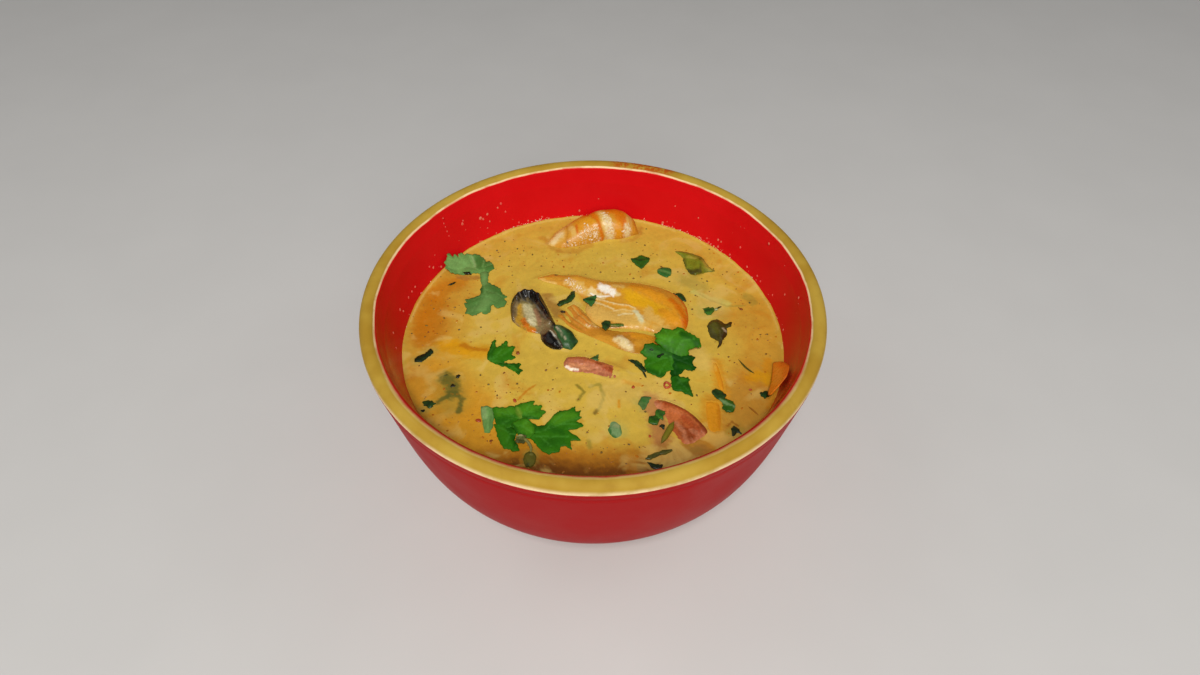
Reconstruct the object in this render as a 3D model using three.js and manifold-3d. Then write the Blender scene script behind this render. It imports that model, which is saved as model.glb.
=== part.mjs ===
// Creamy tom yum soup in its bowl: a thick glazed stoneware bowl, the broth up to its level, and the
// prawns, mussel, vegetables and herbs that lie in it.
// Millimetres, +Z up. The origin is on the table, under the middle of the foot ring.
// +Y points to the back of the bowl, where one prawn leans on the wall.
import * as THREE from "three";
import { mergeVertices } from "three/addons/utils/BufferGeometryUtils.js";
import Module from "manifold-3d";

const wasm = await Module();
wasm.setup();

// ---------------------------------------------------------------- driving dimensions
const BOWL_HEIGHT = 88;
const RIM_RADIUS = 90.6;
const LIP_HALF_WIDTH = 3.3;
const LIP_HALF_HEIGHT = 3.1;
const LIP_SKIRT = 5;
const LIP_SKIRT_TAPER = 0.45;
const LIP_SKIRT_END = -Math.PI / 3;
const SHOULDER_RADIUS = 89.9;
const SHOULDER_DROP = 8.5;
const BELLY = [new THREE.Vector2(82.1, 36.9), new THREE.Vector2(83.1, 20.4)];
const FOOT_RADIUS = 47;
const FOOT_INNER_RADIUS = 40;
const FOOT_HEIGHT = 5.5;
const FOOT_CHAMFER = 1;
const RECESS_HEIGHT = 3.8;
const WALL_UNDER_LIP = 7.8;
const WALL_BODY = 9.3;
const WALL_SETTLES = 0.25;
const FLOOR_HEIGHT = 10;
const FLOOR_TURN = 0.7;
const SOUP_BELOW_RIM = 25.1;
const SOUP_LEVEL = BOWL_HEIGHT - SOUP_BELOW_RIM;
const CLEARANCE = 0.35;
const LEAF_THICKNESS = 0.8;

// A coriander leaflet's proportions, as parts of its length or width.
const LEAFLET_SPREAD = THREE.MathUtils.degToRad(80);
const DEEP_CUT = 0.34;
const SHALLOW_CUT = 0.12;
const SIDE_LOBE_LOSS = 0.2;
const HALF_FAN = 0.64;
const FAN_MIDDLE = 0.33;
const STALK_END = -0.05;

// How finely curves are stepped.
const TURN_STEPS = 44;
const WALL_STEPS = 7;
const LIP_STEPS = 8;
const FLOOR_STEPS = 3;
const LOBE_STEPS = 6;
const SHORTEST_STEP = 0.02;
const MERGE_DISTANCE = 1e-4;

const soup = new THREE.Group();

// ---------------------------------------------------------------- helpers

// A point at a height above (or below) the surface of the broth.
const at = (x, y, height) => new THREE.Vector3(x, y, SOUP_LEVEL + height);

const smooth = (low, high, value) => THREE.MathUtils.smoothstep(value, low, high);

// The value at t, from 0 to 1, of a list of values spread evenly over that range.
function along(values, t) {
  const place = t * (values.length - 1);
  const index = Math.min(Math.floor(place), values.length - 2);
  return THREE.MathUtils.lerp(values[index], values[index + 1], place - index);
}

// A copy with only positions, and one corner where faces meet.
function welded(geometry) {
  const plain = geometry.clone();
  plain.deleteAttribute("normal");
  plain.deleteAttribute("uv");
  return mergeVertices(plain, MERGE_DISTANCE);
}

function toManifold(geometry) {
  const merged = welded(geometry);
  return new wasm.Manifold(new wasm.Mesh({
    numProp: 3,
    vertProperties: new Float32Array(merged.attributes.position.array),
    triVerts: new Uint32Array(merged.index.array),
  }));
}

function toGeometry(solid) {
  const mesh = solid.getMesh();
  const geometry = new THREE.BufferGeometry();
  geometry.setAttribute("position", new THREE.BufferAttribute(mesh.vertProperties, 3));
  geometry.setIndex(new THREE.BufferAttribute(mesh.triVerts, 1));
  return geometry;
}

// One body of several shapes that run into each other.
const joined = (shapes) => (shapes.length === 1
  ? shapes[0]
  : toGeometry(shapes.map(toManifold).reduce((whole, piece) => whole.add(piece))));

// A copy of a closed shape with every corner moved outwards.
function swollen(geometry, distance) {
  const merged = welded(geometry);
  merged.computeVertexNormals();
  const { position, normal } = merged.attributes;
  for (let i = 0; i < position.count; i += 1) {
    position.setXYZ(
      i,
      position.getX(i) + normal.getX(i) * distance,
      position.getY(i) + normal.getY(i) * distance,
      position.getZ(i) + normal.getZ(i) * distance,
    );
  }
  return merged;
}

// A profile of [radius, height] turned about the upright axis.
const turned = (profile) => new THREE.LatheGeometry(profile, TURN_STEPS).rotateX(Math.PI / 2);

// Six times the volume that the faces enclose: below nought where they point inwards.
function enclosed(points, faces) {
  let sum = 0;
  for (let i = 0; i < faces.length; i += 3) {
    const [a, b, c] = [points[faces[i]], points[faces[i + 1]], points[faces[i + 2]]];
    sum += a.dot(new THREE.Vector3().crossVectors(b, c));
  }
  return sum;
}

// A closed skin over rings of equal length, drawn to a point at each end.
function skin(startTip, rings, endTip) {
  const sides = rings[0].length;
  const points = [startTip, ...rings.flat(), endTip];
  const last = points.length - 1;
  const faces = [];
  for (let j = 0; j < sides; j += 1) {
    const next = (j + 1) % sides;
    faces.push(0, 1 + next, 1 + j);
    faces.push(last, last - sides + j, last - sides + next);
    for (let i = 0; i < rings.length - 1; i += 1) {
      const a = 1 + i * sides;
      faces.push(a + j, a + next, a + sides + next);
      faces.push(a + j, a + sides + next, a + sides + j);
    }
  }
  const geometry = new THREE.BufferGeometry().setFromPoints(points);
  geometry.setIndex(enclosed(points, faces) < 0 ? faces.reverse() : faces);
  return geometry;
}

// A soft body along a spine that lies flat or nearly so: half its width across and half its height up.
// Each segment starts a little proud of the end of the one before it by the ridge, a part of the size.
function body({ spine, width, height, steps = 12, sides = 10, segments = 0, ridge = 0 }) {
  const curve = new THREE.CatmullRomCurve3(spine);
  const rings = [];
  for (let i = 1; i < steps; i += 1) {
    const t = i / steps;
    const centre = curve.getPoint(t);
    const forward = curve.getTangent(t);
    const side = new THREE.Vector3(-forward.y, forward.x, 0).normalize();
    const up = new THREE.Vector3().crossVectors(forward, side);
    const saw = 1 + ridge * (0.5 - ((t * segments) % 1));
    const ring = [];
    for (let j = 0; j < sides; j += 1) {
      const angle = (2 * Math.PI * j) / sides;
      ring.push(centre.clone()
        .addScaledVector(side, Math.cos(angle) * along(width, t) * saw)
        .addScaledVector(up, Math.sin(angle) * along(height, t) * saw));
    }
    rings.push(ring);
  }
  return skin(curve.getPoint(0), rings, curve.getPoint(1));
}

function blob(centre, radii, turn = 0) {
  const geometry = new THREE.SphereGeometry(1, 10, 7);
  geometry.rotateX(Math.PI / 2);
  geometry.scale(radii[0], radii[1], radii[2]);
  geometry.rotateZ(THREE.MathUtils.degToRad(turn));
  geometry.translate(centre.x, centre.y, centre.z);
  return geometry;
}

// A thin slab on an outline that is drawn round a middle point. The outline and the middle are given
// as [x, y]; rise(x, y) is the height of the underside above the broth.
function slab(middle, outline, rise, thickness = LEAF_THICKNESS) {
  const lift = ([x, y], extra) => at(x, y, rise(x, y) + extra);
  const low = outline.map((point) => lift(point, 0));
  const high = outline.map((point) => lift(point, thickness));
  return skin(lift(middle, 0), [low, high], lift(middle, thickness));
}

// A coriander leaflet: a fan that opens from its base into lobes of three teeth each, with a deep cut
// between two lobes and a shallow one between two teeth.
function leaflet({ base, length, width, heading, lobes = 3, rise }) {
  const turn = THREE.MathUtils.degToRad(heading);
  const place = (forward, across) => [
    base[0] + forward * Math.cos(turn) - across * Math.sin(turn),
    base[1] + forward * Math.sin(turn) + across * Math.cos(turn),
  ];
  const steps = lobes * LOBE_STEPS;
  const outline = [place(STALK_END * length, 0)];
  for (let i = 0; i <= steps; i += 1) {
    const swing = (2 * i) / steps - 1;
    const angle = swing * LEAFLET_SPREAD;
    const cut = i % LOBE_STEPS === 0 && i % steps !== 0 ? DEEP_CUT : SHALLOW_CUT;
    const reach = (1 - SIDE_LOBE_LOSS * swing * swing) * (i % 2 === 0 ? 1 - cut : 1);
    outline.push(place(length * reach * Math.cos(angle), HALF_FAN * width * reach * Math.sin(angle)));
  }
  return slab(place(FAN_MIDDLE * length, 0), outline, rise);
}

const flat = (height) => () => height;

// A surface that rises from a low edge to a high edge along a heading.
function sloping(from, heading, low, high, run) {
  const turn = THREE.MathUtils.degToRad(heading);
  return (x, y) => {
    const travel = (x - from[0]) * Math.cos(turn) + (y - from[1]) * Math.sin(turn);
    return low + (high - low) * smooth(0, run, travel);
  };
}

function add(name, geometry, finish) {
  const mesh = new THREE.Mesh(geometry, new THREE.MeshStandardMaterial(finish));
  mesh.name = name;
  soup.add(mesh);
}

// ---------------------------------------------------------------- finishes
const RED_GLAZE = { color: 0xc0161c, roughness: 0.18, metalness: 0 };
const BROTH = { color: 0xcd9a36, roughness: 0.25, metalness: 0 };
const PRAWN = { color: 0xe39a4a, roughness: 0.35, metalness: 0 };
const MUSSEL = { color: 0x3d3626, roughness: 0.3, metalness: 0 };
const TOMATO = { color: 0xb06038, roughness: 0.35, metalness: 0 };
const PEPPER = { color: 0xd07c12, roughness: 0.3, metalness: 0 };
const CORIANDER = { color: 0x2f8a28, roughness: 0.45, metalness: 0 };
const DARK_LEAF = { color: 0x4b5a22, roughness: 0.4, metalness: 0 };

// ---------------------------------------------------------------- bowl
const shoulder = new THREE.Vector2(SHOULDER_RADIUS, BOWL_HEIGHT - SHOULDER_DROP);
const footTop = new THREE.Vector2(FOOT_RADIUS, FOOT_HEIGHT);
const outerWall = new THREE.CubicBezierCurve(shoulder, BELLY[0], BELLY[1], footTop);

// The inner wall keeps a thickness that grows from the lip to the body of the bowl.
function innerWall(t, extra = 0) {
  const tangent = outerWall.getTangent(t);
  const growth = smooth(0, WALL_SETTLES, t);
  const thickness = THREE.MathUtils.lerp(WALL_UNDER_LIP, WALL_BODY, growth) + extra;
  return outerWall.getPoint(t).add(new THREE.Vector2(tangent.y, -tangent.x).multiplyScalar(thickness));
}

// How far down the inner wall, from 0 to 1, it passes a height.
function wallPlaceAt(height, extra = 0) {
  let high = 0;
  let low = 1;
  for (let i = 0; i < 40; i += 1) {
    const middle = (high + low) / 2;
    if (innerWall(middle, extra).y > height) high = middle;
    else low = middle;
  }
  return high;
}

function floorCurve(extra = 0) {
  const edge = innerWall(1, extra);
  const height = FLOOR_HEIGHT + extra;
  const turn = new THREE.Vector2(edge.x * FLOOR_TURN, height);
  return new THREE.QuadraticBezierCurve(edge, turn, new THREE.Vector2(0, height));
}

// The lip is half round above its middle, and below it draws in to the shoulder as a skirt.
function lip() {
  const centre = new THREE.Vector2(RIM_RADIUS - LIP_HALF_WIDTH, BOWL_HEIGHT - LIP_HALF_HEIGHT);
  const points = [];
  for (let i = 0; i <= LIP_STEPS; i += 1) {
    const angle = THREE.MathUtils.lerp(LIP_SKIRT_END, Math.PI, i / LIP_STEPS);
    const reach = angle < 0 ? LIP_SKIRT : LIP_HALF_HEIGHT;
    const out = angle < 0 ? 1 - LIP_SKIRT_TAPER * (1 - Math.cos(angle)) : Math.cos(angle);
    points.push(new THREE.Vector2(
      centre.x + LIP_HALF_WIDTH * out,
      centre.y + reach * Math.sin(angle),
    ));
  }
  return points;
}

const levels = Array.from({ length: WALL_STEPS + 1 }, (_, i) => i / WALL_STEPS);

function bowl() {
  const profile = [
    new THREE.Vector2(0, RECESS_HEIGHT),
    new THREE.Vector2(FOOT_INNER_RADIUS - FOOT_CHAMFER, RECESS_HEIGHT),
    new THREE.Vector2(FOOT_INNER_RADIUS, RECESS_HEIGHT - FOOT_CHAMFER),
    new THREE.Vector2(FOOT_INNER_RADIUS + FOOT_CHAMFER, 0),
    new THREE.Vector2(FOOT_RADIUS - FOOT_CHAMFER, 0),
    new THREE.Vector2(FOOT_RADIUS, FOOT_CHAMFER),
    ...levels.map((t) => outerWall.getPoint(1 - t)),
    ...lip(),
    ...levels.map((t) => innerWall(t)),
    ...floorCurve().getPoints(FLOOR_STEPS).slice(1),
  ];
  return turned(profile);
}

add("bowl", bowl(), RED_GLAZE);

// ---------------------------------------------------------------- prawns
const prawnBack = [body({
  spine: [at(-19.5, 58.5, -1), at(-14.5, 60.2, 0.4), at(-5, 64, 1.4), at(4, 67.2, 2.6), at(13, 67.4, 2.6),
    at(21, 65, 0.2)],
  width: [0.5, 5.4, 6.8, 7.2, 7.4, 7.5, 7.4, 5.8, 0.5],
  height: [0.5, 4, 5.8, 7, 7.8, 8, 7.2, 5, 0.5],
  steps: 17,
  sides: 12,
  segments: 5,
  ridge: 0.12,
})];

const prawnMiddle = [body({
  spine: [at(-25.5, 34, 0.2), at(-15, 32.6, 0), at(-2, 28.2, -0.5), at(12, 21.8, -1), at(25.6, 17.4, -1),
    at(33, 9, -1.5), at(31, -1, -3)],
  width: [0.4, 2, 3.6, 5.8, 8.6, 10, 9.8, 8.8, 7.8, 5.8, 0.5],
  height: [0.3, 1.3, 2.2, 3.4, 4.8, 5.8, 6, 5.8, 5, 3.6, 0.4],
  steps: 20,
  sides: 12,
  segments: 6,
  ridge: 0.1,
})];

const prawnLower = [body({
  spine: [at(-13, 13.5, -0.3), at(-6, 8.5, -0.8), at(2, 3, -1), at(11, -1.8, -1), at(19, -5, -1.4),
    at(25, -7.5, -2)],
  width: [0.4, 3.4, 4, 4.6, 5.2, 4.2, 0.4],
  height: [0.3, 2.2, 2.6, 2.8, 2.8, 2.2, 0.3],
  steps: 16,
  sides: 10,
  segments: 4,
  ridge: 0.12,
})];

// ---------------------------------------------------------------- mussel
function mussel() {
  const mantle = body({
    spine: [at(-34.2, 8, -1), at(-34.4, 14.5, 1.2), at(-31.4, 19.4, 2.8), at(-27, 19.6, 3.6),
      at(-23.4, 14.5, 3.2), at(-20.3, 8, 2.6), at(-18.6, 2.5, 1.8), at(-18, -3, 1.2)],
    width: [0.4, 1.5, 1.9, 2.4, 2.7, 2.5, 2.2, 2, 1.9, 0.6],
    height: [0.4, 1.8, 2, 2.1, 2.2, 2.1, 2, 2, 2, 0.6],
    steps: 18,
    sides: 8,
  });
  const belly = blob(at(-28.2, 9.5, 0), [5.6, 9.4, 3.4], 16);
  const bulb = blob(at(-17.4, -5.8, 0.4), [4.2, 4.8, 3.6], 20);
  return [mantle, belly, bulb];
}

// ---------------------------------------------------------------- vegetables
const tomatoStrip = [body({
  spine: [at(-11.5, -18, -0.8), at(-6, -17.4, -0.6), at(1, -19.3, -0.7), at(8, -21.7, -0.9),
    at(14, -23.6, -1.2)],
  width: [0.5, 3.4, 3.2, 3, 2.7, 0.5],
  height: [0.4, 2, 1.9, 1.7, 1.5, 0.4],
  steps: 10,
  sides: 8,
})];

const tomatoWedge = [body({
  spine: [at(20.5, -37.4, -2), at(26.3, -40.9, -2), at(32.4, -44.8, -2), at(38.4, -49, -2),
    at(42.6, -52.4, -2.4)],
  width: [0.6, 5.6, 7.4, 7.6, 5.8, 0.6],
  height: [0.6, 2.6, 3.4, 3.5, 2.8, 0.6],
  steps: 12,
  sides: 10,
})];

const pepperRight = [body({
  spine: [at(45.6, -36, -0.6), at(45.2, -40, -0.4), at(45.2, -45, -0.6), at(45, -49.5, -1)],
  width: [0.4, 2.2, 2.7, 2.4, 0.4],
  height: [0.3, 1, 1.2, 1.1, 0.3],
  steps: 8,
  sides: 8,
})];

const pepperStrip = [body({
  spine: [at(49.4, -17, -0.5), at(49.6, -21.5, -0.3), at(49.6, -26.5, -0.4), at(50, -31, -0.8)],
  width: [0.4, 1.5, 1.8, 1.5, 0.4],
  height: [0.3, 0.7, 0.9, 0.8, 0.3],
  steps: 8,
  sides: 8,
})];

// A flat offcut that leans on the wall, its lower edge on the broth.
const OFFCUT_THICKNESS = 1.6;
const OFFCUT_FOOT_RADIUS = 73;
const OFFCUT_SLOPE = 2;

function pepperWall() {
  const outline = [[72, -17.3], [73.8, -21.9], [74.3, -28.5], [72.5, -33.8], [70.4, -35.9], [67, -37.9],
    [66.8, -34.8], [69.1, -28.6], [70.8, -22.3]];
  const lean = (x, y) => CLEARANCE + OFFCUT_SLOPE * Math.max(0, Math.hypot(x, y) - OFFCUT_FOOT_RADIUS);
  return [slab([72.3, -27.5], outline, lean, OFFCUT_THICKNESS)];
}

// ---------------------------------------------------------------- leaves
// Level on the broth, then up along the wall of the bowl.
const LEAF_CLIMB_RADIUS = 70.5;
const LEAF_CLIMB_SLOPE = 0.6;
const climb = (x, y) => LEAF_CLIMB_SLOPE * Math.max(0, Math.hypot(x, y) - LEAF_CLIMB_RADIUS);
const upTheWall = (x, y) => CLEARANCE + climb(x, y);

// Level on the broth, and a little over a leaflet that lies on it.
const onBroth = flat(CLEARANCE);
const onLeaflet = flat(CLEARANCE + 0.1);

const corianderLeft = [
  leaflet({ base: [-48.5, 37.5], length: 18.5, width: 15, heading: 163, rise: upTheWall }),
  leaflet({ base: [-48.5, 35.5], length: 12.5, width: 13, heading: 92, lobes: 2, rise: onLeaflet }),
  leaflet({ base: [-47.5, 30.5], length: 20.5, width: 19, heading: 268, rise: onBroth }),
  slab([-48, 33.5], [[-49.4, 38], [-48.8, 28.5], [-46.6, 28.5], [-47, 38]], flat(CLEARANCE + 0.05)),
];

const corianderSmall = [
  leaflet({ base: [-41, -14.6], length: 12, width: 12.5, heading: 48, rise: onBroth }),
  leaflet({ base: [-38.2, -15.2], length: 12, width: 7, heading: 328, lobes: 2, rise: onLeaflet }),
];

// The far leaflets of this sprig lie on the prawn, a few millimetres up.
const PRAWN_STEP_UP = 5;
const PRAWN_STEP_RUN = 9;
const overPrawn = sloping([30, -15], 95, CLEARANCE, PRAWN_STEP_UP, PRAWN_STEP_RUN);
const corianderRight = [
  leaflet({ base: [30, -14.5], length: 15.5, width: 21, heading: 55, rise: overPrawn }),
  leaflet({ base: [32, -15], length: 14, width: 17, heading: 180, rise: overPrawn }),
  leaflet({ base: [29, -14], length: 13, width: 15, heading: 325, rise: onBroth }),
  leaflet({ base: [33, -19.5], length: 13.5, width: 11.5, heading: 293, rise: onLeaflet }),
];

const corianderFront = [
  leaflet({ base: [-31, -44.5], length: 13.5, width: 11, heading: 30, rise: onLeaflet }),
  leaflet({ base: [-26, -46.5], length: 13, width: 21, heading: 208, rise: onBroth }),
  leaflet({ base: [-25.5, -50], length: 21.5, width: 20, heading: 2, rise: onBroth }),
  slab([-38.9, -43.2], [[-42.6, -38], [-41, -48.4], [-37.6, -49], [-36, -43], [-38.2, -37.6]],
    flat(CLEARANCE + 0.2)),
];

// A broad leaf torn across, its middle pressed up into a fold.
const FOLD_RISE = 2.1;
const FOLD_SPREAD = 14;
const FOLD_PLACE = [46, 43.6];

function limeLeafBack() {
  const outline = [[37.6, 50.4], [40.8, 43.4], [44, 38.2], [46.4, 37], [49.8, 38.4], [54, 40.8],
    [50.2, 45.6], [44.8, 49.6]];
  const offFold = (x, y) => (x - FOLD_PLACE[0]) + (y - FOLD_PLACE[1]);
  const fold = (x, y) => CLEARANCE + FOLD_RISE * Math.exp(-(offFold(x, y) ** 2) / FOLD_SPREAD);
  return [slab(FOLD_PLACE, outline, fold)];
}

// A dark leaf rolled along its length.
const limeLeafRight = [body({
  spine: [at(50, 8.4, 0.2), at(52.6, 5.4, 0.6), at(53.6, 1, 0.4), at(52.2, -6.4, -0.4)],
  width: [0.4, 4.4, 5, 3.2, 0.3],
  height: [0.3, 1.3, 1.6, 1.1, 0.3],
  steps: 8,
  sides: 8,
})];

const leafByMussel = [body({
  spine: [at(-14.6, 3.6, -0.2), at(-11.8, 0.8, 0.2), at(-9.8, -3.2, 0.2), at(-9.6, -8.6, -0.4)],
  width: [0.4, 2, 2.6, 2.4, 0.4],
  height: [0.3, 1.8, 2.2, 1.9, 0.3],
  steps: 8,
  sides: 8,
})];

// ---------------------------------------------------------------- what lies in the broth
const pieces = [
  ["prawn_back", prawnBack, PRAWN],
  ["prawn_middle", prawnMiddle, PRAWN],
  ["prawn_lower", prawnLower, PRAWN],
  ["mussel", mussel(), MUSSEL],
  ["leaf_by_mussel", leafByMussel, DARK_LEAF],
  ["tomato_strip", tomatoStrip, TOMATO],
  ["tomato_wedge", tomatoWedge, TOMATO],
  ["pepper_wall", pepperWall(), PEPPER],
  ["pepper_right", pepperRight, PEPPER],
  ["pepper_strip", pepperStrip, PEPPER],
  ["lime_leaf_back", limeLeafBack(), DARK_LEAF],
  ["lime_leaf_right", limeLeafRight, DARK_LEAF],
  ["coriander_left", corianderLeft, CORIANDER],
  ["coriander_small", corianderSmall, CORIANDER],
  ["coriander_right", corianderRight, CORIANDER],
  ["coriander_front", corianderFront, CORIANDER],
];
pieces.forEach(([name, shapes, finish]) => add(name, joined(shapes), finish));

// ---------------------------------------------------------------- broth
// It fills the bowl to its level, and each piece that dips into it has its own hollow there.
function broth() {
  const top = wallPlaceAt(SOUP_LEVEL, CLEARANCE);
  const edge = new THREE.Vector2(innerWall(top, CLEARANCE).x, SOUP_LEVEL);
  const below = levels.filter((t) => t > top + SHORTEST_STEP);
  const profile = [
    new THREE.Vector2(0, SOUP_LEVEL),
    edge,
    ...below.map((t) => innerWall(t, CLEARANCE)),
    ...floorCurve(CLEARANCE).getPoints(FLOOR_STEPS).slice(1),
  ].reverse();
  const whole = toManifold(turned(profile));
  const shapes = pieces.flatMap(([, piece]) => piece);
  const hollows = shapes.map((shape) => toManifold(swollen(shape, CLEARANCE)));
  return toGeometry(hollows.reduce((rest, hollow) => rest.subtract(hollow), whole));
}

add("soup", broth(), BROTH);

export default soup;
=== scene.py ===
# %% [markdown]
# # Creamy tom yum soup in a thick glazed bowl
# The part is a stoneware bowl of broth with prawns, a mussel, vegetables and coriander in it.
# The frame below holds every solid at its true size and place. This script gives each of them its looks:
# it turns the bowl, pours the broth round the food, and paints and scatters what is too small for the frame.
# Lengths are in millimetres up to the moment that a mesh is made, because food is easy to think of in them.

# %% Open the frame
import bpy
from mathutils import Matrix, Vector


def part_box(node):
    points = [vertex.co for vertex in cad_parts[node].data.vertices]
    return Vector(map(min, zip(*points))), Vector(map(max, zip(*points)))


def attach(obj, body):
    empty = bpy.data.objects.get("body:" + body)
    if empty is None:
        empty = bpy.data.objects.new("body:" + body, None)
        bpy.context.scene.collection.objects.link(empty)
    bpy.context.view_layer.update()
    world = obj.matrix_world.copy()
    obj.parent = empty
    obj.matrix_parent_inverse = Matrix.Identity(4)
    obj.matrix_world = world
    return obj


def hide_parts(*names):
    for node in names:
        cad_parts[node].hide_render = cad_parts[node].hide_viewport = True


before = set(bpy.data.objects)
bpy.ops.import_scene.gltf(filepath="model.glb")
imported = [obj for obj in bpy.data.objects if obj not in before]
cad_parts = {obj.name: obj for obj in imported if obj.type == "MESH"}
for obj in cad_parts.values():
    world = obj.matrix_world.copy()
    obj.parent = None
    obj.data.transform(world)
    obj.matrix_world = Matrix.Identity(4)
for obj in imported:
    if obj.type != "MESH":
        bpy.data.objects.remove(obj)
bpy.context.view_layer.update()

import math

import bpy
import numpy as np
from mathutils import Matrix, Vector
from mathutils.bvhtree import BVHTree
from mathutils.geometry import delaunay_2d_cdt

MM = 0.001
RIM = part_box("bowl")[1].z / MM
RIM_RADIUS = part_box("bowl")[1].x / MM
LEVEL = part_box("soup")[1].z / MM
print(f"rim {RIM:.1f} mm up and {RIM_RADIUS:.1f} mm out, broth {LEVEL:.1f} mm up")

# %% [markdown]
# ## Helpers for numbers
# Food is uneven everywhere, and the unevenness has to be the same on each run. Waves in random
# directions, added up, give a smooth noise that works on a whole array of points at once.

# %% Smooth numbers
def blend(low, high, value):
    """From 0 at low to 1 at high, with soft ends."""
    t = np.clip((value - low) / (high - low), 0, 1)
    return t * t * (3 - 2 * t)


def waves(points, size, seed, count=14):
    """Unevenness from about -1 to 1, with humps about `size` mm apart. Flat points count as lying at 0."""
    points = np.pad(points, ((0, 0), (0, 3 - points.shape[1])))
    draw = np.random.default_rng(seed)
    heading = draw.normal(size=(count, 3))
    heading /= np.linalg.norm(heading, axis=1)[:, None]
    length = size * draw.uniform(0.6, 1.6, count)
    start = draw.uniform(0, 2 * math.pi, count)
    swell = np.sin(points @ (heading / length[:, None] * 2 * math.pi).T + start)
    return swell.sum(1) / math.sqrt(count)


def flow(points, places):
    """Places, from 0 to 1, on a smooth curve that passes through the given points (Catmull-Rom)."""
    points = np.asarray(points, float).reshape(len(points), -1)
    points = np.vstack([2 * points[0] - points[1], points, 2 * points[-1] - points[-2]])
    place = np.clip(places, 0, 1) * (len(points) - 3)
    first = np.minimum(place.astype(int), len(points) - 4)
    t = (place - first)[:, None]
    a, b, c, d = (points[first + k] for k in range(4))
    square = (2 * a - 5 * b + 4 * c - d) * t ** 2
    return 0.5 * (2 * b + (c - a) * t + square + (3 * b - a - 3 * c + d) * t ** 3)


def bezier(points, t):
    """A point on the curve that the given points pull on."""
    points = [np.asarray(p, float) for p in points]
    while len(points) > 1:
        points = [a + (b - a) * t for a, b in zip(points, points[1:])]
    return points[0]


def rgb(red, green, blue):
    """A screen colour, 0 to 255 a channel, as the linear numbers that shaders use."""
    screen = np.array([red, green, blue]) / 255
    return np.where(screen <= 0.04045, screen / 12.92, ((screen + 0.055) / 1.055) ** 2.4)

# %% [markdown]
# ## Helpers for meshes
# Every piece is made the same way: points and faces, turned right side out, given a finish, and tied to
# the frame. `loft` makes rings round a spine, which suits prawns, mussel meat and cut vegetables.

# %% Making a piece and tying it to the frame
def solid(name, points, faces, finish):
    """A mesh object from points in mm. Faces that point inwards are turned round."""
    mesh = bpy.data.meshes.new(name)
    mesh.from_pydata([tuple(p) for p in np.asarray(points) * MM], [], [tuple(map(int, f)) for f in faces])
    mesh.validate()
    mesh.shade_smooth()
    mesh.materials.append(finish)
    piece = bpy.data.objects.new(name, mesh)
    bpy.context.scene.collection.objects.link(piece)
    return outwards(piece)


def outwards(piece):
    """Turns the faces round where they enclose less than nothing."""
    mesh = piece.data
    mesh.calc_loop_triangles()
    corners = np.array([v.co for v in mesh.vertices])[[t.vertices[:] for t in mesh.loop_triangles]]
    if np.einsum("ij,ij->", corners[:, 0], np.cross(corners[:, 1], corners[:, 2])) < 0:
        mesh.flip_normals()
    return piece


def places(piece):
    """The piece's points in mm."""
    flat = np.zeros(len(piece.data.vertices) * 3)
    piece.data.vertices.foreach_get("co", flat)
    return flat.reshape(-1, 3) / MM


handed_in = []


def hand_in(piece, slot, *nodes):
    """Ties a finished piece to the frame, and says which CAD nodes it stands for."""
    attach(piece, "root")
    if nodes:
        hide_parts(*nodes)
    handed_in.append((piece, slot))
    print(f"{piece.name}: {len(piece.data.polygons)} faces")
    return piece


def joined(shapes):
    """Points and faces of several shapes as one."""
    points, faces, start = [], [], 0
    for some_points, some_faces in shapes:
        points.append(some_points)
        faces += [[index + start for index in face] for face in some_faces]
        start += len(some_points)
    return np.vstack(points), faces

# %% Rows of points, and rings round a spine
def quads(rows, columns, spot):
    """Faces between neighbouring rows of points. spot(row, column) is a point's number."""
    return [[spot(i, j), spot(i + 1, j), spot(i + 1, j + 1), spot(i, j + 1)] for i in range(rows)
        for j in range(columns)]


def loft(spine, width, height, steps, sides, swell=None):
    """Rings round a spine of (x, y, height above the broth), half `width` across and half `height` up.
    swell(t, angle) scales them; the angle runs from the far side over the top to the near side."""
    spine = np.asarray(spine, float) + [0, 0, LEVEL]
    t = np.linspace(0, 1, steps + 1)
    centre = flow(spine, t)
    forward = np.gradient(centre, axis=0)
    forward /= np.linalg.norm(forward, axis=1)[:, None]
    side = np.stack([-forward[:, 1], forward[:, 0], np.zeros(len(t))], 1)
    side /= np.linalg.norm(side, axis=1)[:, None]
    up = np.cross(forward, side)
    half_width, half_height = (np.maximum(flow(sizes, t)[:, 0], 0.05) for sizes in (width, height))
    angle = np.arange(sides) * 2 * math.pi / sides
    grid_t, grid_angle = np.meshgrid(t, angle, indexing="ij")
    scale = np.ones_like(grid_t) if swell is None else swell(grid_t, grid_angle)
    across = np.cos(grid_angle) * half_width[:, None] * scale
    upwards = np.sin(grid_angle) * half_height[:, None] * scale
    rings = centre[:, None] + across[..., None] * side[:, None] + upwards[..., None] * up[:, None]
    points = np.vstack([rings.reshape(-1, 3), centre[:1], centre[-1:]])
    ring = lambda i, j: i * sides + j % sides
    faces = [[ring(i, j), ring(i, j + 1), ring(i + 1, j + 1), ring(i + 1, j)] for i in range(steps)
        for j in range(sides)]
    tips = len(points) - 2
    faces += [[tips, ring(0, j + 1), ring(0, j)] for j in range(sides)]
    faces += [[tips + 1, ring(steps, j), ring(steps, j + 1)] for j in range(sides)]
    return points, faces
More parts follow.
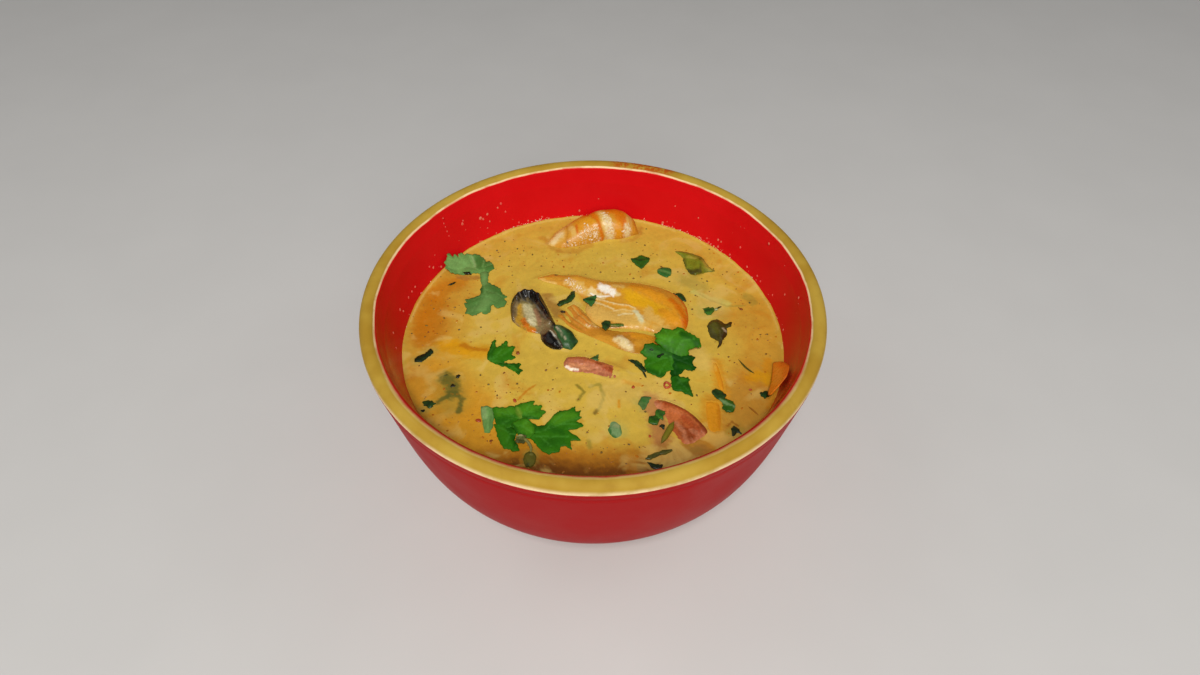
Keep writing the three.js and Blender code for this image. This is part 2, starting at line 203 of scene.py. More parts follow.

# %% [markdown]
# ## Painting in strokes
# A cooked prawn isn't one colour: it is cream where the flesh shows and orange where the shell was. Soft
# strokes laid over a base colour, point by point, say just that. Each stroke is a colour, half its width,
# how strong it is, and the line that it follows seen from above.

# %% Strokes of colour
def off_line(points, line):
    """How far each point lies from a line, seen from above, in mm."""
    flat = points[:, :2]
    line = np.asarray(line, float).reshape(-1, 2)
    ends = line[1:] if len(line) > 1 else line + [1e-6, 0]
    best = np.full(len(flat), 1e9)
    for a, b in zip(line, ends):
        run = b - a
        t = np.clip(((flat - a) @ run) / (run @ run), 0, 1)
        best = np.minimum(best, np.linalg.norm(flat - a - t[:, None] * run, axis=1))
    return best


def paint(piece, base, strokes, ragged, seed):
    """Gives each point of the piece a colour: the base, then every stroke over it."""
    points = places(piece)
    colour = np.tile(np.asarray(base, float), (len(points), 1))
    ruffle = ragged * (0.6 * waves(points, 2.6, seed) + 0.4 * waves(points, 1.1, seed + 1))
    for tone, half_width, strength, line in strokes:
        away = off_line(points, line) + ruffle * min(half_width, 2.5) * 0.6
        cover = strength * (1 - blend(0.35 * half_width, 1.25 * half_width, away))
        colour += (np.asarray(tone) - colour) * cover[:, None]
    store = piece.data.color_attributes.new("tint", "FLOAT_COLOR", "POINT")
    store.data.foreach_set("color", np.hstack([np.clip(colour, 0, 1), np.ones((len(points), 1))]).ravel())


def patch(points, half_width, strength, line, core=0.2):
    """A number for each point: the strength on the line, fading to 0 past its half width."""
    return strength * (1 - blend(core * half_width, 1.2 * half_width, off_line(points, line)))


def weigh(piece, name, values):
    """Gives each point of the piece a number that a finish can read."""
    store = piece.data.attributes.new(name, "FLOAT", "POINT")
    store.data.foreach_set("value", np.asarray(values, np.float32))

# %% [markdown]
# ## Building finishes
# A finish is a small network of nodes, and so is a Geometry Nodes tree. One helper keeps them readable: every
# call adds one node, feeds it numbers or other nodes, and gives back the output that comes next.

# %% A network of nodes
class Nodes:
    def feed(self, node, inputs):
        for key, value in inputs.items():
            if isinstance(value, bpy.types.NodeSocket):
                self.net.links.new(value, node.inputs[key])
            else:
                node.inputs[key].default_value = value

    def add(self, kind, inputs=None, output=0, **settings):
        node = self.net.nodes.new(kind)
        for key, value in settings.items():
            setattr(node, key, value)
        self.feed(node, inputs or {})
        return node.outputs[output]

    def sum(self, operation, *values):
        return self.add("ShaderNodeMath", dict(enumerate(values)), operation=operation)

    def plus(self, first, second):
        return self.sum("ADD", first, second)

    def minus(self, first, second):
        return self.sum("SUBTRACT", first, second)

    def times(self, first, second):
        return self.sum("MULTIPLY", first, second)

# %% A finish and its nodes
class Finish(Nodes):
    def __init__(self, name, **sockets):
        self.material = bpy.data.materials.new(name)
        self.material.use_nodes = True
        self.net = self.material.node_tree
        self.shader = self.net.nodes["Principled BSDF"]
        self.show(**sockets)

    def show(self, **sockets):
        """Feeds the shader's sockets, with _ for each space in their names."""
        self.feed(self.shader, {key.replace("_", " "): value for key, value in sockets.items()})
        return self.material

    def where(self):
        return self.add("ShaderNodeTexCoord", output="Object")

    def layer(self, name, output="Fac"):
        return self.add("ShaderNodeAttribute", output=output, attribute_name=name)

    def noise(self, size, detail=3.0, roughness=0.55, twist=0.0):
        """Noise with humps about `size` mm apart. twist curls them, as a stirred liquid is."""
        inputs = {"Vector": self.where(), "Scale": 1 / (size * MM), "Detail": detail, "Roughness": roughness,
            "Distortion": twist}
        return self.add("ShaderNodeTexNoise", inputs)

    def step(self, value, low, high, to_low=0.0, to_high=1.0):
        """The value as to_low below low and to_high above high, smooth between."""
        inputs = {"Value": value, "From Min": low, "From Max": high, "To Min": to_low, "To Max": to_high}
        return self.add("ShaderNodeMapRange", inputs, interpolation_type="SMOOTHSTEP")

    def mix(self, share, first, second):
        colour = lambda c: c if isinstance(c, bpy.types.NodeSocket) else (*c, 1.0)
        inputs = {0: share, 6: colour(first), 7: colour(second)}
        return self.add("ShaderNodeMix", inputs, output=2, data_type="RGBA")

    def shaded(self, colour, shade):
        return self.add("ShaderNodeVectorMath", {0: colour, "Scale": shade}, operation="SCALE")

    def relief(self, height, depth, strength, over=None):
        """Bumps `depth` mm high, on top of those in `over`."""
        inputs = {"Height": height, "Distance": depth * MM, "Strength": strength}
        if over is not None:
            inputs["Normal"] = over
        return self.add("ShaderNodeBump", inputs)

# %% [markdown]
# ## The view
# The bowl is looked down on from in front, close by, so its far rim looks narrower than its near one.

# %% Camera
CAMERA_PLACE = (0.0, -221.85, 298.82)
CAMERA_PITCH, CAMERA_YAW, CAMERA_ROLL = 0.8205, 0.0123, 0.0129
LENS = 23.35


def look():
    camera = bpy.data.objects.new("camera", bpy.data.cameras.new("camera"))
    bpy.context.scene.collection.objects.link(camera)
    camera.data.lens = LENS
    camera.data.sensor_width = 36
    camera.data.sensor_fit = "HORIZONTAL"
    camera.data.clip_start = 0.01
    ahead = Vector((math.sin(CAMERA_YAW) * math.cos(CAMERA_PITCH),
        math.cos(CAMERA_YAW) * math.cos(CAMERA_PITCH), -math.sin(CAMERA_PITCH)))
    level = Vector((math.cos(CAMERA_YAW), -math.sin(CAMERA_YAW), 0))
    above = level.cross(ahead)
    right = level * math.cos(CAMERA_ROLL) + above * math.sin(CAMERA_ROLL)
    up = above * math.cos(CAMERA_ROLL) - level * math.sin(CAMERA_ROLL)
    turn = Matrix((right, up, -ahead)).transposed().to_4x4()
    camera.matrix_world = Matrix.Translation(Vector(CAMERA_PLACE) * MM) @ turn
    bpy.context.scene.camera = camera


look()

# %% [markdown]
# ## The bowl
# On the wheel or in the mould, a bowl is one outline turned about an axis, so its mesh is made the same way.
# The outline is a list of points: foot ring, outer wall, rolled lip, inner wall and floor. A Geometry Nodes
# tree lays a grid over it, one side of the grid along the outline and the other round the turn, and moves
# the outline in and out by a hair, as clay does. A lathe modifier could turn it too, but the tree keeps the
# number of steps and the unevenness as inputs that are easy to change.

# %% Outline of the bowl
LIP_HALF_WIDTH = 3.3
LIP_HALF_HEIGHT = 3.1
LIP_SKIRT = 5.0
LIP_SKIRT_TAPER = 0.45
OUTER_WALL = [(RIM_RADIUS - 0.7, RIM - 8.5), (82.1, 36.9), (83.1, 20.4), (47.0, 5.5)]
WALL_UNDER_LIP = 7.8
WALL_BODY = 9.3
FLOOR_HEIGHT = 10.0
FOOT = [(0.01, 3.8), (38.6, 3.8), (39.4, 3.6), (40.0, 2.9), (40.6, 1.2), (41.0, 0.35), (41.7, 0.0),
    (45.6, 0.0), (46.4, 0.3), (46.9, 1.0), (47.0, 2.4), (47.0, 4.0)]


def wall(t, inwards=0.0):
    """A point of the wall, t from 0 under the lip to 1 at the foot, and how far in from its outside."""
    above = bezier(OUTER_WALL, max(t - 0.001, 0))
    below = bezier(OUTER_WALL, min(t + 0.001, 1))
    down = (below - above) / np.linalg.norm(below - above)
    return bezier(OUTER_WALL, t) + np.array([down[1], -down[0]]) * inwards


def inner_wall(t):
    return wall(t, WALL_UNDER_LIP + (WALL_BODY - WALL_UNDER_LIP) * blend(0, 0.25, t))


def lip(angle):
    """The lip is round above its middle, and below it draws in to the wall as a skirt."""
    reach = LIP_SKIRT if angle < 0 else LIP_HALF_HEIGHT
    out = 1 - LIP_SKIRT_TAPER * (1 - math.cos(angle)) if angle < 0 else math.cos(angle)
    middle = (RIM_RADIUS - LIP_HALF_WIDTH, RIM - LIP_HALF_HEIGHT)
    return np.array([middle[0] + LIP_HALF_WIDTH * out, middle[1] + reach * math.sin(angle)])


inner = [inner_wall(t) for t in np.linspace(0, 1, 80)]
floor_edge = inner[-1]
floor_pull = [floor_edge, (0.7 * floor_edge[0], FLOOR_HEIGHT), (0.01, FLOOR_HEIGHT)]
outline = [*FOOT, *[wall(t) for t in np.linspace(1, 0, 70)],
    *[lip(a) for a in np.linspace(-math.pi / 3, math.pi, 44)], *inner,
    *[bezier(floor_pull, t) for t in np.linspace(0.04, 1, 24)]]
outline = np.array(outline)
print(f"outline of {len(outline)} points")


def inner_radius(height):
    """How far out the inner wall is at a height, in mm."""
    rising = np.array(inner)[::-1]
    return np.interp(height, rising[:, 1], rising[:, 0])

# %% A tree of nodes, for the bowl and for what is scattered
class Tree(Nodes):
    def __init__(self, name, **sizes):
        """sizes: the named inputs, each with its kind and first value."""
        self.net = bpy.data.node_groups.new(name, "GeometryNodeTree")
        add_socket = self.net.interface.new_socket
        add_socket("Geometry", in_out="INPUT", socket_type="NodeSocketGeometry")
        add_socket("Geometry", in_out="OUTPUT", socket_type="NodeSocketGeometry")
        self.names = {}
        for key, (kind, value) in sizes.items():
            socket = add_socket(key, in_out="INPUT", socket_type="NodeSocket" + kind)
            if value is not None:
                socket.default_value = value
            self.names[key] = socket.identifier
        self.start = self.net.nodes.new("NodeGroupInput")
        self.end = self.net.nodes.new("NodeGroupOutput")

    def size(self, key):
        return self.start.outputs[key]

    def close(self, shape, finish):
        """The last two nodes of every tree here: real geometry, then its finish."""
        real = self.add("GeometryNodeRealizeInstances", {"Geometry": shape})
        done = self.add("GeometryNodeSetMaterial", {"Geometry": real, "Material": finish})
        self.net.links.new(done, self.end.inputs[0])

    def grow(self, name, seed_object, **values):
        """Runs the tree on an object and gives back the result as a plain mesh object."""
        modifier = seed_object.modifiers.new(name, "NODES")
        modifier.node_group = self.net
        for key, value in values.items():
            modifier[self.names[key]] = value
        ready = seed_object.evaluated_get(bpy.context.evaluated_depsgraph_get())
        mesh = bpy.data.meshes.new_from_object(ready)
        mesh.name = name
        piece = bpy.data.objects.new(name, mesh)
        bpy.context.scene.collection.objects.link(piece)
        bpy.data.objects.remove(seed_object)
        return piece

# %% Turning the outline
def turning_tree():
    tree = Tree("turn_an_outline", turn_steps=("Int", 200), unevenness=("Float", 0.0),
        finish=("Material", None))
    outline_points = tree.start.outputs["Geometry"]
    count = tree.add("GeometryNodeAttributeDomainSize", {"Geometry": outline_points}, "Point Count")
    rows = tree.plus(tree.size("turn_steps"), 1)
    grid = tree.add("GeometryNodeMeshGrid", {"Size X": 1.0, "Size Y": 1.0, "Vertices X": count,
        "Vertices Y": rows})
    here = tree.add("GeometryNodeInputPosition")
    split = tree.add("ShaderNodeSeparateXYZ", {0: here}).node
    place = tree.times(tree.plus(split.outputs[0], 0.5), tree.minus(count, 1))
    index = tree.add("FunctionNodeFloatToInt", {0: place}, rounding_mode="ROUND")
    drawn = tree.add("GeometryNodeSampleIndex", {"Geometry": outline_points, "Value": here, "Index": index},
        data_type="FLOAT_VECTOR")
    from_outline = tree.add("ShaderNodeSeparateXYZ", {0: drawn}).node
    angle = tree.times(tree.plus(split.outputs[1], 0.5), 2 * math.pi)
    cosine = tree.sum("COSINE", angle)
    sine = tree.sum("SINE", angle)
    clay = tree.add("ShaderNodeCombineXYZ", {0: cosine, 1: sine, 2: tree.times(from_outline.outputs[2], 20)})
    hair = tree.add("ShaderNodeTexNoise", {"Vector": clay, "Scale": 1.6, "Detail": 1.0})
    push = tree.times(tree.minus(hair, 0.5), tree.size("unevenness"))
    radius = tree.plus(from_outline.outputs[0], tree.times(push, from_outline.outputs[0]))
    out = tree.add("ShaderNodeCombineXYZ",
        {0: tree.times(radius, cosine), 1: tree.times(radius, sine), 2: from_outline.outputs[2]})
    bent = tree.add("GeometryNodeSetPosition", {"Geometry": grid, "Position": out})
    shut = tree.add("GeometryNodeMergeByDistance", {"Geometry": bent, "Distance": 0.02 * MM})
    smooth = tree.add("GeometryNodeSetShadeSmooth", {0: shut})
    tree.close(smooth, tree.size("finish"))
    return tree

# %% [markdown]
# ## Glaze
# The bowl is dipped red all over and its lip is brushed mustard. Where the two glazes meet, and where either
# runs thin over an edge, the pale clay shows as a cream line. Height and distance from the axis are enough to
# place the bands, so the finish reads them from Object coordinates and lets noise make the borders wander.

# %% Red glaze with a mustard lip
LIP_BAND_BACK, LIP_BAND_FRONT, LIP_BAND_OUTSIDE = 86.75 * MM, 87.7 * MM, 84.4 * MM
OVER_THE_LIP = (86.5 * MM, 89.8 * MM)
FRONT_TO_MIDDLE = (-60 * MM, -10 * MM)
CREAM_OUTSIDE = 87 * MM
WANDER = 0.9 * MM
RED_FROM, RED_TO = rgb(196, 10, 13), rgb(216, 22, 26)
# The darker reds are painted shade: one for the outside wall, one for the near side of the bowl.
RED_OUTSIDE_SHADED, RED_IN_SHADE = rgb(160, 0, 6), rgb(112, 8, 4)
MUSTARD_FROM, MUSTARD_TO = rgb(166, 129, 42), rgb(182, 149, 58)
MUSTARD_THIN, MUSTARD_SMEARED = rgb(136, 98, 32), rgb(170, 78, 18)
CREAM_LINE, BARE_CLAY = rgb(244, 214, 166), rgb(196, 170, 140)


def glaze():
    coat = Finish("red_glaze_mustard_lip", Specular_IOR_Level=0.06)
    split = coat.add("ShaderNodeSeparateXYZ", {0: coat.where()}).node
    to_back, height = split.outputs[1], split.outputs[2]
    flat = coat.add("ShaderNodeCombineXYZ", {0: split.outputs[0], 1: to_back})
    radius = coat.add("ShaderNodeVectorMath", {0: flat}, output="Value", operation="LENGTH")
    inside = coat.step(to_back, *FRONT_TO_MIDDLE, LIP_BAND_FRONT, LIP_BAND_BACK)
    border = coat.step(radius, *OVER_THE_LIP, inside, LIP_BAND_OUTSIDE)
    wander = coat.times(coat.minus(coat.noise(17, 3), 0.5), WANDER)
    over = coat.plus(coat.minus(height, border), wander)
    mustard_share = coat.step(over, -0.12 * MM, 0.16 * MM)
    cream_width = coat.step(radius, CREAM_OUTSIDE, 88.5 * MM, 0.5 * MM, 2.1 * MM)
    thin_above = coat.step(over, 0.2 * MM, cream_width, 1.0, 0.0)
    thin_below = coat.step(over, -0.4 * MM, -0.1 * MM)
    faint = coat.step(to_back, *FRONT_TO_MIDDLE, 0.2, 0.9)
    strong = coat.step(radius, CREAM_OUTSIDE, 88.2 * MM, faint, 1.0)
    worn = coat.times(coat.step(coat.noise(9, 4, 0.65), 0.34, 0.56, 0.5, 1.0), strong)
    cream_share = coat.times(coat.times(thin_above, thin_below), worn)
    cloud = coat.noise(24, 4)
    red = coat.mix(cloud, RED_FROM, RED_TO)
    # Painted shade: the red darkens towards the near side of the bowl.
    painted_near_shade = coat.times(coat.step(to_back, -70 * MM, -30 * MM, 1.0, 0.0), 0.45)
    red = coat.mix(painted_near_shade, red, RED_IN_SHADE)
    # Painted shade: the outside wall gets a darker red than the inside.
    red = coat.mix(coat.times(coat.layer("outside"), 0.5), red, RED_OUTSIDE_SHADED)
    mustard = coat.mix(coat.step(coat.noise(16, 3, 0.5), 0.3, 0.7), MUSTARD_FROM, MUSTARD_TO)
    thin = coat.step(coat.noise(5, 4, 0.6), 0.54, 0.74, 0.0, 0.16)
    mustard = coat.mix(thin, mustard, MUSTARD_THIN)
    smear = coat.times(coat.layer("smear"), coat.step(coat.noise(2.2, 4, 0.7), 0.38, 0.56))
    mustard = coat.mix(smear, mustard, MUSTARD_SMEARED)
    colour = coat.mix(mustard_share, red, mustard)
    colour = coat.mix(cream_share, colour, CREAM_LINE)
    bare = coat.step(height, 0.5 * MM, 0.9 * MM, 1.0, 0.0)
    colour = coat.mix(bare, colour, BARE_CLAY)
    skin = coat.relief(coat.noise(6, 2), 0.10, 0.5)
    skin = coat.relief(coat.noise(0.8, 2), 0.015, 0.5, skin)
    rough = coat.step(cloud, 0.3, 0.7, 0.16, 0.26)
    for share, more in ((coat.layer("outside"), 0.24), (mustard_share, 0.1), (bare, 0.25)):
        rough = coat.plus(rough, coat.times(share, more))
    return coat.show(Base_Color=colour, Normal=skin, Roughness=rough)

# %% The bowl itself
SMEARED = [(12.0, 87.0), (24.0, 84.5), (34.0, 81.5)]


def turn_bowl():
    seed = bpy.data.meshes.new("outline")
    edges = [(i, i + 1) for i in range(len(outline) - 1)]
    seed.from_pydata([(r * MM, 0, z * MM) for r, z in outline], edges, [])
    seed_object = bpy.data.objects.new("outline", seed)
    bpy.context.scene.collection.objects.link(seed_object)
    tree = turning_tree()
    bowl = outwards(tree.grow("bowl_turned", seed_object, turn_steps=256, unevenness=0.0016, finish=glaze()))
    points = places(bowl)
    weigh(bowl, "smear", 1 - blend(1.5, 5.5, off_line(points, SMEARED)))
    weigh(bowl, "outside", blend(3, 5, np.hypot(points[:, 0], points[:, 1]) - inner_radius(points[:, 2])))
    hand_in(bowl, "bowl_glaze", "bowl")


turn_bowl()

# %% [markdown]
# ## Finishes for food
# Everything in the bowl is wet, so all of it is glossy, and what differs is the colour and the relief.
# One function makes these finishes: it takes the painted colour, mottles it at two sizes, and raises
# a grain. A painted number turns spots to white flecks: curdled protein, as on prawn that touches broth, and
# painted highlights where wet flesh shines.

# %% Wet food
# White of curd, also used for painted highlights on wet flesh.
CURD_AND_HIGHLIGHT_WHITE = rgb(226, 208, 174)


def food(name, grain, depth, mottle, roughness, gloss, skin=0.0):
    """grain: size of the relief in mm. depth: its height in mm. mottle: how uneven the colour is."""
    finish = Finish(name, Roughness=roughness, Specular_IOR_Level=gloss, Coat_Weight=skin,
        Coat_Roughness=0.12)
    fine = finish.noise(grain, 4, 0.6)
    broad = finish.noise(grain * 5, 3)
    both = finish.plus(finish.times(fine, 0.6), finish.times(broad, 0.4))
    shade = finish.step(both, 0.32, 0.68, 1 - mottle, 1 + mottle)
    colour = finish.shaded(finish.layer("tint", "Color"), shade)
    # White flecks: curd, and painted highlights where the wet flesh shines.
    flecks = finish.step(finish.noise(0.9, 4, 0.7), 0.5, 0.62)
    colour = finish.mix(finish.times(finish.layer("curds_and_highlights"), flecks), colour, CURD_AND_HIGHLIGHT_WHITE)
    bumps = finish.relief(broad, depth * 2.2, 0.6)
    bumps = finish.relief(fine, depth, 0.8, bumps)
    rough = finish.step(fine, 0.3, 0.7, roughness - 0.08, roughness + 0.1)
    return finish.show(Base_Color=colour, Normal=bumps, Roughness=rough)


def fleck(piece, curds_and_highlights):
    """Paints the number for white flecks, curd and painted highlights: spots as (half width, strength, line).
    """
    points = places(piece)
    shares = [patch(points, *spot, core=0.3) for spot in curds_and_highlights]
    weigh(piece, "curds_and_highlights", np.clip(np.sum(shares, axis=0), 0, 1) if shares else np.zeros(len(points)))


PRAWN = food("wet_prawn", 0.9, 0.08, mottle=0.09, roughness=0.3, gloss=0.2, skin=0.06)
MUSSEL = food("wet_mussel", 0.9, 0.1, mottle=0.2, roughness=0.26, gloss=0.25, skin=0.12)
TOMATO = food("wet_tomato", 0.9, 0.14, mottle=0.24, roughness=0.34, gloss=0.22)
PEPPER = food("wet_pepper", 1.8, 0.05, mottle=0.07, roughness=0.3, gloss=0.2)
LEAF = food("wet_leaf", 0.7, 0.05, mottle=0.14, roughness=0.5, gloss=0.1)
DARK_LEAF = food("wet_dark_leaf", 0.8, 0.06, mottle=0.2, roughness=0.34, gloss=0.25)
CRUMB = food("wet_crumb", 0.5, 0.05, mottle=0.25, roughness=0.34, gloss=0.35)

# %% [markdown]
# ## Sheets
# A leaf, a slice, or the top of something half sunk is a surface on an outline. The outline is drawn as a
# list of points, rounded a little, and filled with small triangles, so that the surface can rise, sag and
# fold. Then it gets an underside, which makes it a closed thing. A square grid cut to the shape would be
# simpler, but its edge would be a staircase.

# %% Rounding and toothing an outline
ROUNDING = 0.32
TOOTH = 2.1
TINY = 1e-9


def rounded(outline, cuts):
    """The outline with curved stretches between its points, each in `cuts` steps."""
    outline = np.asarray(outline, float)
    a, b, c, d = (np.roll(outline, shift, 0) for shift in (1, 0, -1, -2))
    square = 3 * (c - b) - ROUNDING * (2 * (c - a) + (d - b))
    cube = 2 * (b - c) + ROUNDING * ((c - a) + (d - b))
    curve = [b + ROUNDING * (c - a) * t + square * t ** 2 + cube * t ** 3 for t in np.arange(cuts) / cuts]
    return np.stack(curve, 1).reshape(-1, 2)


def toothed(edge, depth, seed):
    """The edge with small uneven teeth that point outwards."""
    after, before = np.roll(edge, -1, 0), np.roll(edge, 1, 0)
    run = after - before
    outward = np.stack([run[:, 1], -run[:, 0]], 1) / np.maximum(np.linalg.norm(run, axis=1), TINY)[:, None]
    area = np.sum(edge[:, 0] * after[:, 1] - after[:, 0] * edge[:, 1]) / 2
    along = np.cumsum(np.linalg.norm(edge - before, axis=1))
    uneven = waves(edge, 5, seed)
    tooth = 1 - np.abs(np.sin(along * math.pi / TOOTH + 1.2 * uneven))
    return edge + outward * (math.copysign(depth, area) * (tooth - 0.35) * (1 + 0.4 * uneven))[:, None]

# %% Filling an outline
SOLE = 1.6
SHAKE = 0.22


def filled(edge, spacing, seed):
    """Small triangles inside an edge: points and faces."""
    draw = np.random.default_rng(seed)
    low, high = edge.min(0), edge.max(0)
    grid = np.stack(np.meshgrid(np.arange(low[0], high[0], spacing), np.arange(low[1], high[1], spacing)),
        -1)
    grid = grid.reshape(-1, 2) + draw.uniform(-SHAKE, SHAKE, (grid.size // 2, 2)) * spacing
    after = np.roll(edge, -1, 0)
    astride = (edge[:, 1] > grid[:, 1:]) != (after[:, 1] > grid[:, 1:])
    run = np.where(np.abs(after[:, 1] - edge[:, 1]) < TINY, TINY, after[:, 1] - edge[:, 1])
    crossing = edge[:, 0] + (grid[:, 1:] - edge[:, 1]) * (after[:, 0] - edge[:, 0]) / run
    inside = ((astride & (grid[:, :1] < crossing)).sum(1) % 2) == 1
    loop = np.vstack([edge, edge[:1]])
    grid = grid[inside & (off_line(grid, loop) > 0.5 * spacing)]
    spots = [Vector(p) for p in np.vstack([edge, grid])]
    flat, _, faces, *_ = delaunay_2d_cdt(spots, [], [list(range(len(edge)))], 1, 1e-4)
    return np.array([p[:] for p in flat]), [list(f) for f in faces]


def sheet(outline, height, thickness, spacing, cuts, seed, teeth=0.0):
    """A closed sheet. height(points, distance from the edge) is its upper side, in mm above the broth.
    With no thickness it gets a flat sole under the broth. teeth: how deep its edge is toothed, in mm."""
    edge = rounded(outline, cuts)
    if teeth:
        edge = toothed(edge, teeth, seed)
    flat, faces = filled(edge, spacing, seed)
    away = off_line(flat, np.vstack([edge, edge[:1]]))
    upper = np.column_stack([flat, LEVEL + height(flat, away)])
    lower = np.column_stack([flat, np.full(len(flat), LEVEL - SOLE)])
    if thickness:
        lower = upper - [0, 0, thickness]
    turned = [f if np.cross(flat[f[1]] - flat[f[0]], flat[f[2]] - flat[f[0]]) > 0 else f[::-1]
        for f in faces]
    sides = {(f[k], f[(k + 1) % 3]) for f in turned for k in range(3)}
    rims = [(a, b) for a, b in sides if (b, a) not in sides]
    count = len(flat)
    shape = [list(f) for f in turned] + [[i + count for i in f[::-1]] for f in turned]
    shape += [[b, a, a + count, b + count] for a, b in rims]
    return np.vstack([upper, lower]), shape

# %% [markdown]
# ## Prawns
# A shelled prawn is a fat muscle in segments, bent round where it was cooked. Its skin keeps orange bands,
# and the flesh between them is cream. The prawn at the back stands clear of the broth, so it is a loft whose
# rings swell slowly and drop where one segment laps over the next, with fine lengthways fibres. Height lists
# are above the broth, so its lower side lies in the soup.

# %% Segments and fibres
def prawn_swell(segments, first, ridge, seed):
    """How far the rings swell: segments that lap over each other along a slanting seam, and faint fibres."""
    def swell(t, angle):
        place = (t * segments + first + 0.2 * np.cos(angle)) % 1
        lap = blend(0, 0.86, place) - blend(0.88, 1, place)
        flat = np.stack([t.ravel() * 30, angle.ravel() * 0.9, np.zeros(t.size)], 1)
        lumps = waves(flat, 3.4, seed).reshape(t.shape)
        fibres = np.sin(angle * 19 + 2 * np.sin(t * 23 + seed)) * 0.004
        return 1 + ridge * (lap - 0.6) + 0.014 * lumps + fibres
    return swell

# %% Colours of cooked prawn
VEIN_BROWN = rgb(80, 55, 25)
SHELL_RUST = rgb(200, 90, 10)
SHELL_ORANGE = rgb(205, 110, 10)
SHELL_AMBER = rgb(210, 140, 25)
SHELL_GOLD = rgb(214, 158, 20)
SHELL_TAN = rgb(180, 120, 30)
SHELL_PEACH = rgb(200, 125, 38)
FLESH_TAN = rgb(200, 140, 40)
FLESH_PEACH = rgb(208, 165, 80)
FLESH_CREAM = rgb(212, 170, 85)
# Pale flesh; some of its strokes on the prawns are painted highlights where the wet flesh shines.
PALE_FLESH_AND_HIGHLIGHT = rgb(222, 198, 140)
# A grey-cream painted highlight, and white flesh that also carries painted highlights.
PAINTED_HIGHLIGHT_GREY = rgb(210, 200, 150)
WHITE_FLESH_AND_HIGHLIGHT = rgb(240, 232, 215)

# %% Prawn at the back
BACK_SPINE = [(-21.6, 56.4, -0.6), (-15, 59.6, 0.2), (-5, 64, 1.4), (4, 67.2, 2.6), (13, 67.4, 2.6),
    (21, 65, 0.2)]
BACK_WIDTH = [0.5, 4.6, 6.4, 7.2, 7.4, 7.5, 7.4, 5.8, 0.5]
BACK_HEIGHT = [0.5, 2.6, 4.6, 6.4, 7.8, 8, 7.2, 5, 0.5]
back_strokes = [(FLESH_CREAM, 4.2, 1.0, [(-20.6, 56), (-17, 58), (-15, 62), (-14.4, 66)]),
    (PALE_FLESH_AND_HIGHLIGHT, 2.0, 0.9, [(-18.6, 57.4), (-15.6, 59.8)]),
    (FLESH_TAN, 1.5, 0.8, [(-17.5, 54.2), (-13.4, 55.4)]),
    (FLESH_TAN, 1.8, 0.8, [(-12.2, 62.5), (-11.8, 57)]),
    (SHELL_TAN, 0.5, 0.8, [(-13.1, 66.1), (-12, 60.2), (-12.8, 54.4)]),
    (SHELL_AMBER, 3.6, 0.95, [(-6.4, 62.5), (-2.4, 62.5)]),
    (SHELL_ORANGE, 1.8, 0.95, [(-4.4, 67), (-1.2, 69), (0.6, 65.4)]),
    (SHELL_ORANGE, 1.2, 0.9, [(-0.9, 67.8), (1.9, 63.4), (4.2, 58.3), (5.5, 55.4)]),
    (FLESH_CREAM, 1.5, 0.95, [(-10.6, 62), (-9.2, 58.8)]),
    (SHELL_RUST, 0.6, 0.8, [(-8.2, 62.8), (-7.6, 59)]),
    (FLESH_CREAM, 1.6, 0.95, [(1.9, 70.4), (3.8, 65.8), (4.9, 61.4)]),
    # Painted highlight: this pale stroke lies where the wet flesh shines.
    (PALE_FLESH_AND_HIGHLIGHT, 2.2, 0.95, [(5.8, 64), (7.9, 59.1), (9.2, 54.8)]),
    (SHELL_ORANGE, 3.4, 1.0, [(7.8, 70), (11.2, 68.8), (13.6, 64)]),
    (SHELL_AMBER, 2.0, 0.85, [(11.4, 61.8), (12, 59)]), (FLESH_PEACH, 1.5, 0.95, [(16.8, 70), (16.3, 62.6)]),
    (PALE_FLESH_AND_HIGHLIGHT, 1.6, 0.95, [(15.3, 62.4), (16.4, 58.6)]),
    (SHELL_TAN, 1.6, 0.9, [(19, 70.6), (20.8, 66.1), (20.1, 60.9)]),
    (SHELL_RUST, 0.7, 0.8, [(-4.1, 68.8), (1.4, 72), (7.5, 73.6), (13.2, 73), (17.7, 70.4)]),
    (VEIN_BROWN, 0.4, 0.95, [(-12.2, 55.5)])]
# White flecks on the back prawn: curd, and painted highlights where its wet flesh shines.
back_curds_and_highlights = [(1.7, 0.8, [(-13.4, 53.2), (-8.6, 55)]), (2.0, 0.85, [(-5.6, 57.2), (-3.2, 60.4), (-0.4, 58)]),
    (2.0, 1.0, [(1, 60.1), (2.4, 57.2)]), (2.4, 0.95, [(4.4, 67), (7, 62.5), (9.3, 57.4)]),
    (1.9, 0.95, [(14.1, 59.7), (16.4, 62.4), (17.8, 60.4)])]


def back_prawn():
    flesh = loft(BACK_SPINE, BACK_WIDTH, BACK_HEIGHT, 150, 56, prawn_swell(2.85, 0.5, 0.075, 11))
    piece = solid("prawn_back_flesh", *flesh, PRAWN)
    paint(piece, FLESH_TAN, back_strokes, 0.5, 11)
    fleck(piece, back_curds_and_highlights)
    return hand_in(piece, "prawn_flesh", "prawn_back")


prawn_back = back_prawn()

# %% [markdown]
# ## Mounds
# The prawn in the middle, the one below it, the mussel and the tomato lie half sunk, so what counts is their
# upper side. Each is a closed sheet on an outline, as high as the ridges laid over it say, with a rounded
# margin that dips under the broth. Ridges are drawn as strokes of colour are: rise, half width and line.

# %% A mound with ridges
MOUND_SINK = 0.6


